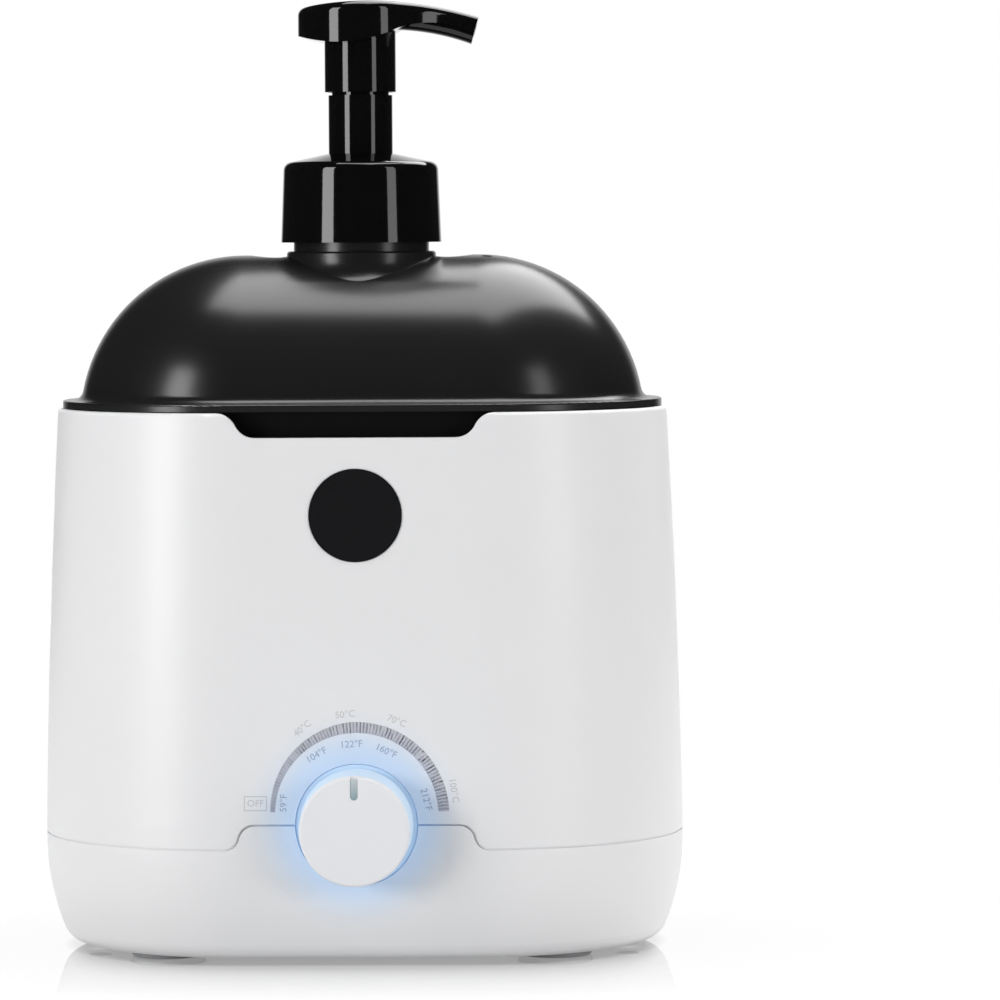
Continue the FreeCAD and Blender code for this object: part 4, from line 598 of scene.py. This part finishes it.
# --------------------------------------------------------------------------- shells' joint
JOINT_TOP = KNOB.z + 2 * MM                  # the joint lies below this
FACING = 0.5                                 # least cosine of a face that looks one way
TONGUE_LOW, TONGUE_HIGH = 0.46 * MM, 1.1 * MM    # how far it is set back, low and raised
TONGUE_THICK, TONGUE_LAP, TONGUE_REACH = 0.6 * MM, 0.12 * MM, 0.62 * MM


def outer_edge():
    """Edges between the upper housing's outer wall and its lower rim: each one's two points,
    the wall's and the rim's normals, and its two vertices' numbers."""
    build = bmesh.new()
    build.from_mesh(NODES["upper_housing"].data)
    bmesh.ops.remove_doubles(build, verts=build.verts, dist=1e-6)
    build.normal_update()
    found = []
    for edge in build.edges:
        if len(edge.link_faces) != 2 or max(vertex.co.z for vertex in edge.verts) > JOINT_TOP:
            continue
        centre = (edge.verts[0].co + edge.verts[1].co) / 2
        outward = Vector((centre.x, centre.y - PUMP.y, 0)).normalized()
        wall, rim = sorted(edge.link_faces, key=lambda face: -face.normal.dot(outward))
        if wall.normal.dot(outward) > FACING and abs(rim.normal.dot(wall.normal)) < FACING:
            found.append(([vertex.co.copy() for vertex in edge.verts], wall.normal.copy(),
                          rim.normal.copy(), [vertex.index for vertex in edge.verts]))
    build.free()
    return found


def tongue_mesh(name):
    """The base shell's tongue, seen in the joint: a thin band set back in the gap, deeper in
    the raised middle."""
    edges = outer_edge()
    walls, rims, places = {}, {}, {}
    for points, wall, rim, indices in edges:
        for point, index in zip(points, indices):
            walls[index] = walls.get(index, Vector()) + wall
            rims[index] = rims.get(index, Vector()) + rim
            places[index] = point
    lowest = min(point.z for point in places.values())
    build = bmesh.new()
    rings = {}
    for index, point in places.items():
        wall, rim = walls[index].normalized(), rims[index].normalized()
        share = (point.z - lowest) / (KNOB.z - lowest)
        depth = TONGUE_LOW + (TONGUE_HIGH - TONGUE_LOW) * min(1.0, max(0.0, share))
        outer = point - wall * depth
        inner = outer - wall * TONGUE_THICK
        rings[index] = [build.verts.new(where) for where in (
            outer - rim * TONGUE_LAP, outer + rim * TONGUE_REACH,
            inner + rim * TONGUE_REACH, inner - rim * TONGUE_LAP)]
    for _, _, _, (first, last) in edges:
        here, there = rings[first], rings[last]
        for side in range(4):
            after = (side + 1) % 4
            build.faces.new((here[side], here[after], there[after], there[side]))
    bmesh.ops.holes_fill(build, edges=[edge for edge in build.edges if edge.is_boundary], sides=4)
    bmesh.ops.recalc_face_normals(build, faces=build.faces)
    return to_mesh(build, name)


add_piece("shell_tongue", tongue_mesh("shell_tongue"), MATERIALS["white_shell"])


# --------------------------------------------------------------------------- pump spring
def make_spring():
    """The return spring, which shortens as the head goes down in the real pump; here the whole
    coil is copied and goes with the stem.
    """
    coil = bpy.data.objects.new("spring_coil", NODES["return_spring"].data.copy())
    bpy.context.scene.collection.objects.link(coil)
    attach(coil, "stem")
    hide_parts("return_spring")
    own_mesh(coil)


make_spring()


# --------------------------------------------------------------------------- studio
ROOM_EDGE, ROOM_DIM = (0.88, 0.985), 0.02    # in the gloss: where white starts, the room before
FILL_EDGE = 0.2                              # sideways part of a direction where more fill starts
FILL_FRONT, FILL_LEFT, FILL_RIGHT = 0.075, 0.30, 0.40

FLOOR_RADIUS = 1.2
FLOOR_DROP = 0.1 * MM                        # keeps the feet's soles clear of it
FLOOR_WHITE = 0.6                            # what its light on the object comes from
FLOOR_BOUNCE, BOUNCE_EDGE = 0.10, 0.01       # more of it close to the base
FLOOR_SHADE = 0.02                           # share of the real light and shadow that shows
FLOOR_DARK, FLOOR_LIGHT = 0.60, 0.99         # painted contact shadow right under the base, and the floor in the open
FLOOR_REACH = 0.004                          # how far the painted shadow line under the base reaches
OPEN_SPAN = (0.35, 0.97)                     # openness from the dark level to the light one
MIRROR, MIRROR_TINT, MIRROR_REACH = 0.6, 0.95, 0.065
FADE_SPAN = (0.35, 0.9)                      # from its middle, where it turns to plain white

SOFTBOX_DISTANCE = 1.5
LAMP_AIM = 0.15                              # height that the aimed lamps face

CAMERA_ASIDE, CAMERA_AWAY, CAMERA_UP = 0.065, 1.580, 0.2116     # right, before the pump, above
CAMERA_TURN = (87.0, 0.3, 0.895)             # degrees
CAMERA_LENS, CAMERA_SENSOR = 195.66, 36.0    # mm


def make_world():
    """White behind the object for everything that shows it, a dim room in front, and a soft
    fill that is stronger from the sides."""
    world = bpy.data.worlds.new("studio")
    bpy.context.scene.world = world
    world.use_nodes = True
    tree = world.node_tree
    parts = split(tree, node(tree, "ShaderNodeTexCoord").outputs["Generated"])
    behind = mapped(tree, parts["Y"], *ROOM_EDGE, ROOM_DIM, 1.0, smooth=True)
    left = mapped(tree, parts["X"], -FILL_EDGE, -1.0, 0.0, FILL_LEFT)
    right = mapped(tree, parts["X"], FILL_EDGE, 1.0, 0.0, FILL_RIGHT)
    fill = maths(tree, "ADD", maths(tree, "ADD", left, right), FILL_FRONT)
    path = node(tree, "ShaderNodeLightPath").outputs
    shown = mixed(tree, path["Is Glossy Ray"], fill, behind)
    sharp = maths(tree, "MULTIPLY", path["Is Glossy Ray"], path["Is Singular Ray"])
    seen = maths(tree, "MAXIMUM", maths(tree, "MAXIMUM", path["Is Camera Ray"], sharp),
                 path["Is Transmission Ray"])
    background = tree.nodes["Background"]
    feed(tree, background.inputs["Strength"], mixed(tree, seen, shown, colour(1, 1, 1)))
    background.inputs["Color"].default_value = (1, 1, 1, 1)


def area_lamp(name, wide, tall, radiance, gloss, light):
    """Soft lamp; it may be left out of the gloss, or show in the gloss alone."""
    lamp = bpy.data.lights.new(name, "AREA")
    lamp.shape = "RECTANGLE"
    lamp.size, lamp.size_y = wide, tall
    lamp.energy = radiance * math.pi * wide * tall
    holder = bpy.data.objects.new(name, lamp)
    bpy.context.scene.collection.objects.link(holder)
    holder.visible_glossy = gloss
    holder.visible_diffuse = light
    return holder


def softbox(name, bearing, wide, low, high, radiance, gloss=True, light=True):
    """Upright lamp at this bearing from the camera's side, in degrees, left negative. It stands
    between these two heights."""
    holder = area_lamp(name, wide, high - low, radiance, gloss, light)
    turn = math.radians(bearing)
    holder.location = (SOFTBOX_DISTANCE * math.sin(turn),
                       PUMP.y - SOFTBOX_DISTANCE * math.cos(turn), (low + high) / 2)
    holder.rotation_euler = (math.radians(90), 0, turn)


def aimed_lamp(name, wide, deep, toward, distance, radiance, gloss=True, light=True):
    """Lamp in this direction from the machine's middle, facing it."""
    holder = area_lamp(name, wide, deep, radiance, gloss, light)
    away = Vector(toward).normalized()
    holder.location = Vector((0, PUMP.y, LAMP_AIM)) + away * distance
    holder.rotation_euler = away.to_track_quat("Z", "Y").to_euler()


def beside_base(tree):
    """How far a point of the floor is from the base's oval outline, in metres."""
    low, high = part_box("base_shell")
    centre, half = (low + high) / 2, (high - low) / 2
    shifted = vector_maths(tree, "SUBTRACT", place(tree), (centre.x, centre.y, 0))
    oval = vector_maths(tree, "LENGTH", stretched(tree, shifted, (half.y / half.x, 1, 1)))
    return maths(tree, "SUBTRACT", oval, half.y)


def floor_material(name):
    """White floor. Light on the object comes from a plain matt white. What shows it sees a pale
    floor with a painted shadow line under the base and a mirror image that fades out beside it."""
    material = bpy.data.materials.new(name)
    material.use_nodes = True
    tree = material.node_tree
    tree.nodes.clear()
    bounce = mapped(tree, beside_base(tree), 0.0, BOUNCE_EDGE, FLOOR_BOUNCE, 0.0)
    plain = added_shader(tree, diffuse(tree, FLOOR_WHITE), emission(tree, bounce))
    # painted contact shadow: the floor's own light is turned down where the AO node finds the
    # base close by
    hidden = node(tree, "ShaderNodeAmbientOcclusion", samples=16)
    hidden.inputs["Distance"].default_value = FLOOR_REACH
    light = mapped(tree, hidden.outputs["AO"], *OPEN_SPAN, FLOOR_DARK, FLOOR_LIGHT)
    matt = added_shader(tree, diffuse(tree, FLOOR_SHADE), emission(tree, light))
    mirror = node(tree, "ShaderNodeBsdfAnisotropic")
    mirror.inputs["Color"].default_value = (MIRROR_TINT, MIRROR_TINT, MIRROR_TINT, 1)
    mirror.inputs["Roughness"].default_value = 0.0
    share = mapped(tree, beside_base(tree), 0.0, MIRROR_REACH, MIRROR, 0.0)
    near = mixed_shader(tree, share, matt, mirror)
    away = vector_maths(tree, "LENGTH", place(tree))
    visible = mixed_shader(tree, mapped(tree, away, *FADE_SPAN, smooth=True), near,
                           emission(tree, 1.0))
    path = node(tree, "ShaderNodeLightPath").outputs
    seen = maths(tree, "MAXIMUM", path["Is Camera Ray"],
                 maths(tree, "MAXIMUM", path["Is Glossy Ray"], path["Is Transmission Ray"]))
    above = mixed_shader(tree, seen, plain, visible)
    backward = node(tree, "ShaderNodeNewGeometry").outputs["Backfacing"]
    both = mixed_shader(tree, backward, above, node(tree, "ShaderNodeBsdfTransparent"))
    out = node(tree, "ShaderNodeOutputMaterial")
    tree.links.new(both.outputs[0], out.inputs["Surface"])
    return material


def make_floor():
    build = bmesh.new()
    bmesh.ops.create_circle(build, cap_ends=True, radius=FLOOR_RADIUS, segments=96)
    mesh = to_mesh(build, "floor")
    mesh.materials.append(floor_material("floor_white"))
    floor = bpy.data.objects.new("floor", mesh)
    bpy.context.scene.collection.objects.link(floor)
    floor.location.z = CAD_BOX[0].z - FLOOR_DROP


def make_camera():
    """The photograph's view: from in front, a little right of the middle and above it."""
    camera = bpy.data.cameras.new("camera")
    camera.sensor_width = CAMERA_SENSOR
    camera.lens = CAMERA_LENS
    holder = bpy.data.objects.new("camera", camera)
    bpy.context.scene.collection.objects.link(holder)
    holder.location = (CAMERA_ASIDE, PUMP.y - CAMERA_AWAY, CAMERA_UP)
    holder.rotation_euler = [math.radians(angle) for angle in CAMERA_TURN]
    bpy.context.scene.camera = holder


make_world()
make_floor()
softbox("strip_left", bearing=-47, wide=0.46, low=0.0, high=1.15, radiance=7.0, light=False)
softbox("strip_right", bearing=48, wide=0.36, low=0.0, high=1.15, radiance=2.9, light=False)
softbox("fill_left", bearing=-60, wide=0.6, low=0.1, high=1.7, radiance=3.0, gloss=False)
softbox("fill_right", bearing=72, wide=0.7, low=0.0, high=1.5, radiance=2.3, gloss=False)
aimed_lamp("top_light", wide=0.85, deep=1.6, toward=(0.2, 0.36, 0.93), distance=1.2,
           radiance=5.2)
aimed_lamp("key_left", wide=0.4, deep=0.4, toward=(-0.66, -0.75, 0.10), distance=1.5,
           radiance=12.5, gloss=False)
aimed_lamp("key_right", wide=0.4, deep=0.4, toward=(0.68, -0.72, 0.12), distance=1.5,
           radiance=5.8, gloss=False)
make_camera()
bpy.context.scene.view_settings.view_transform = "Standard"
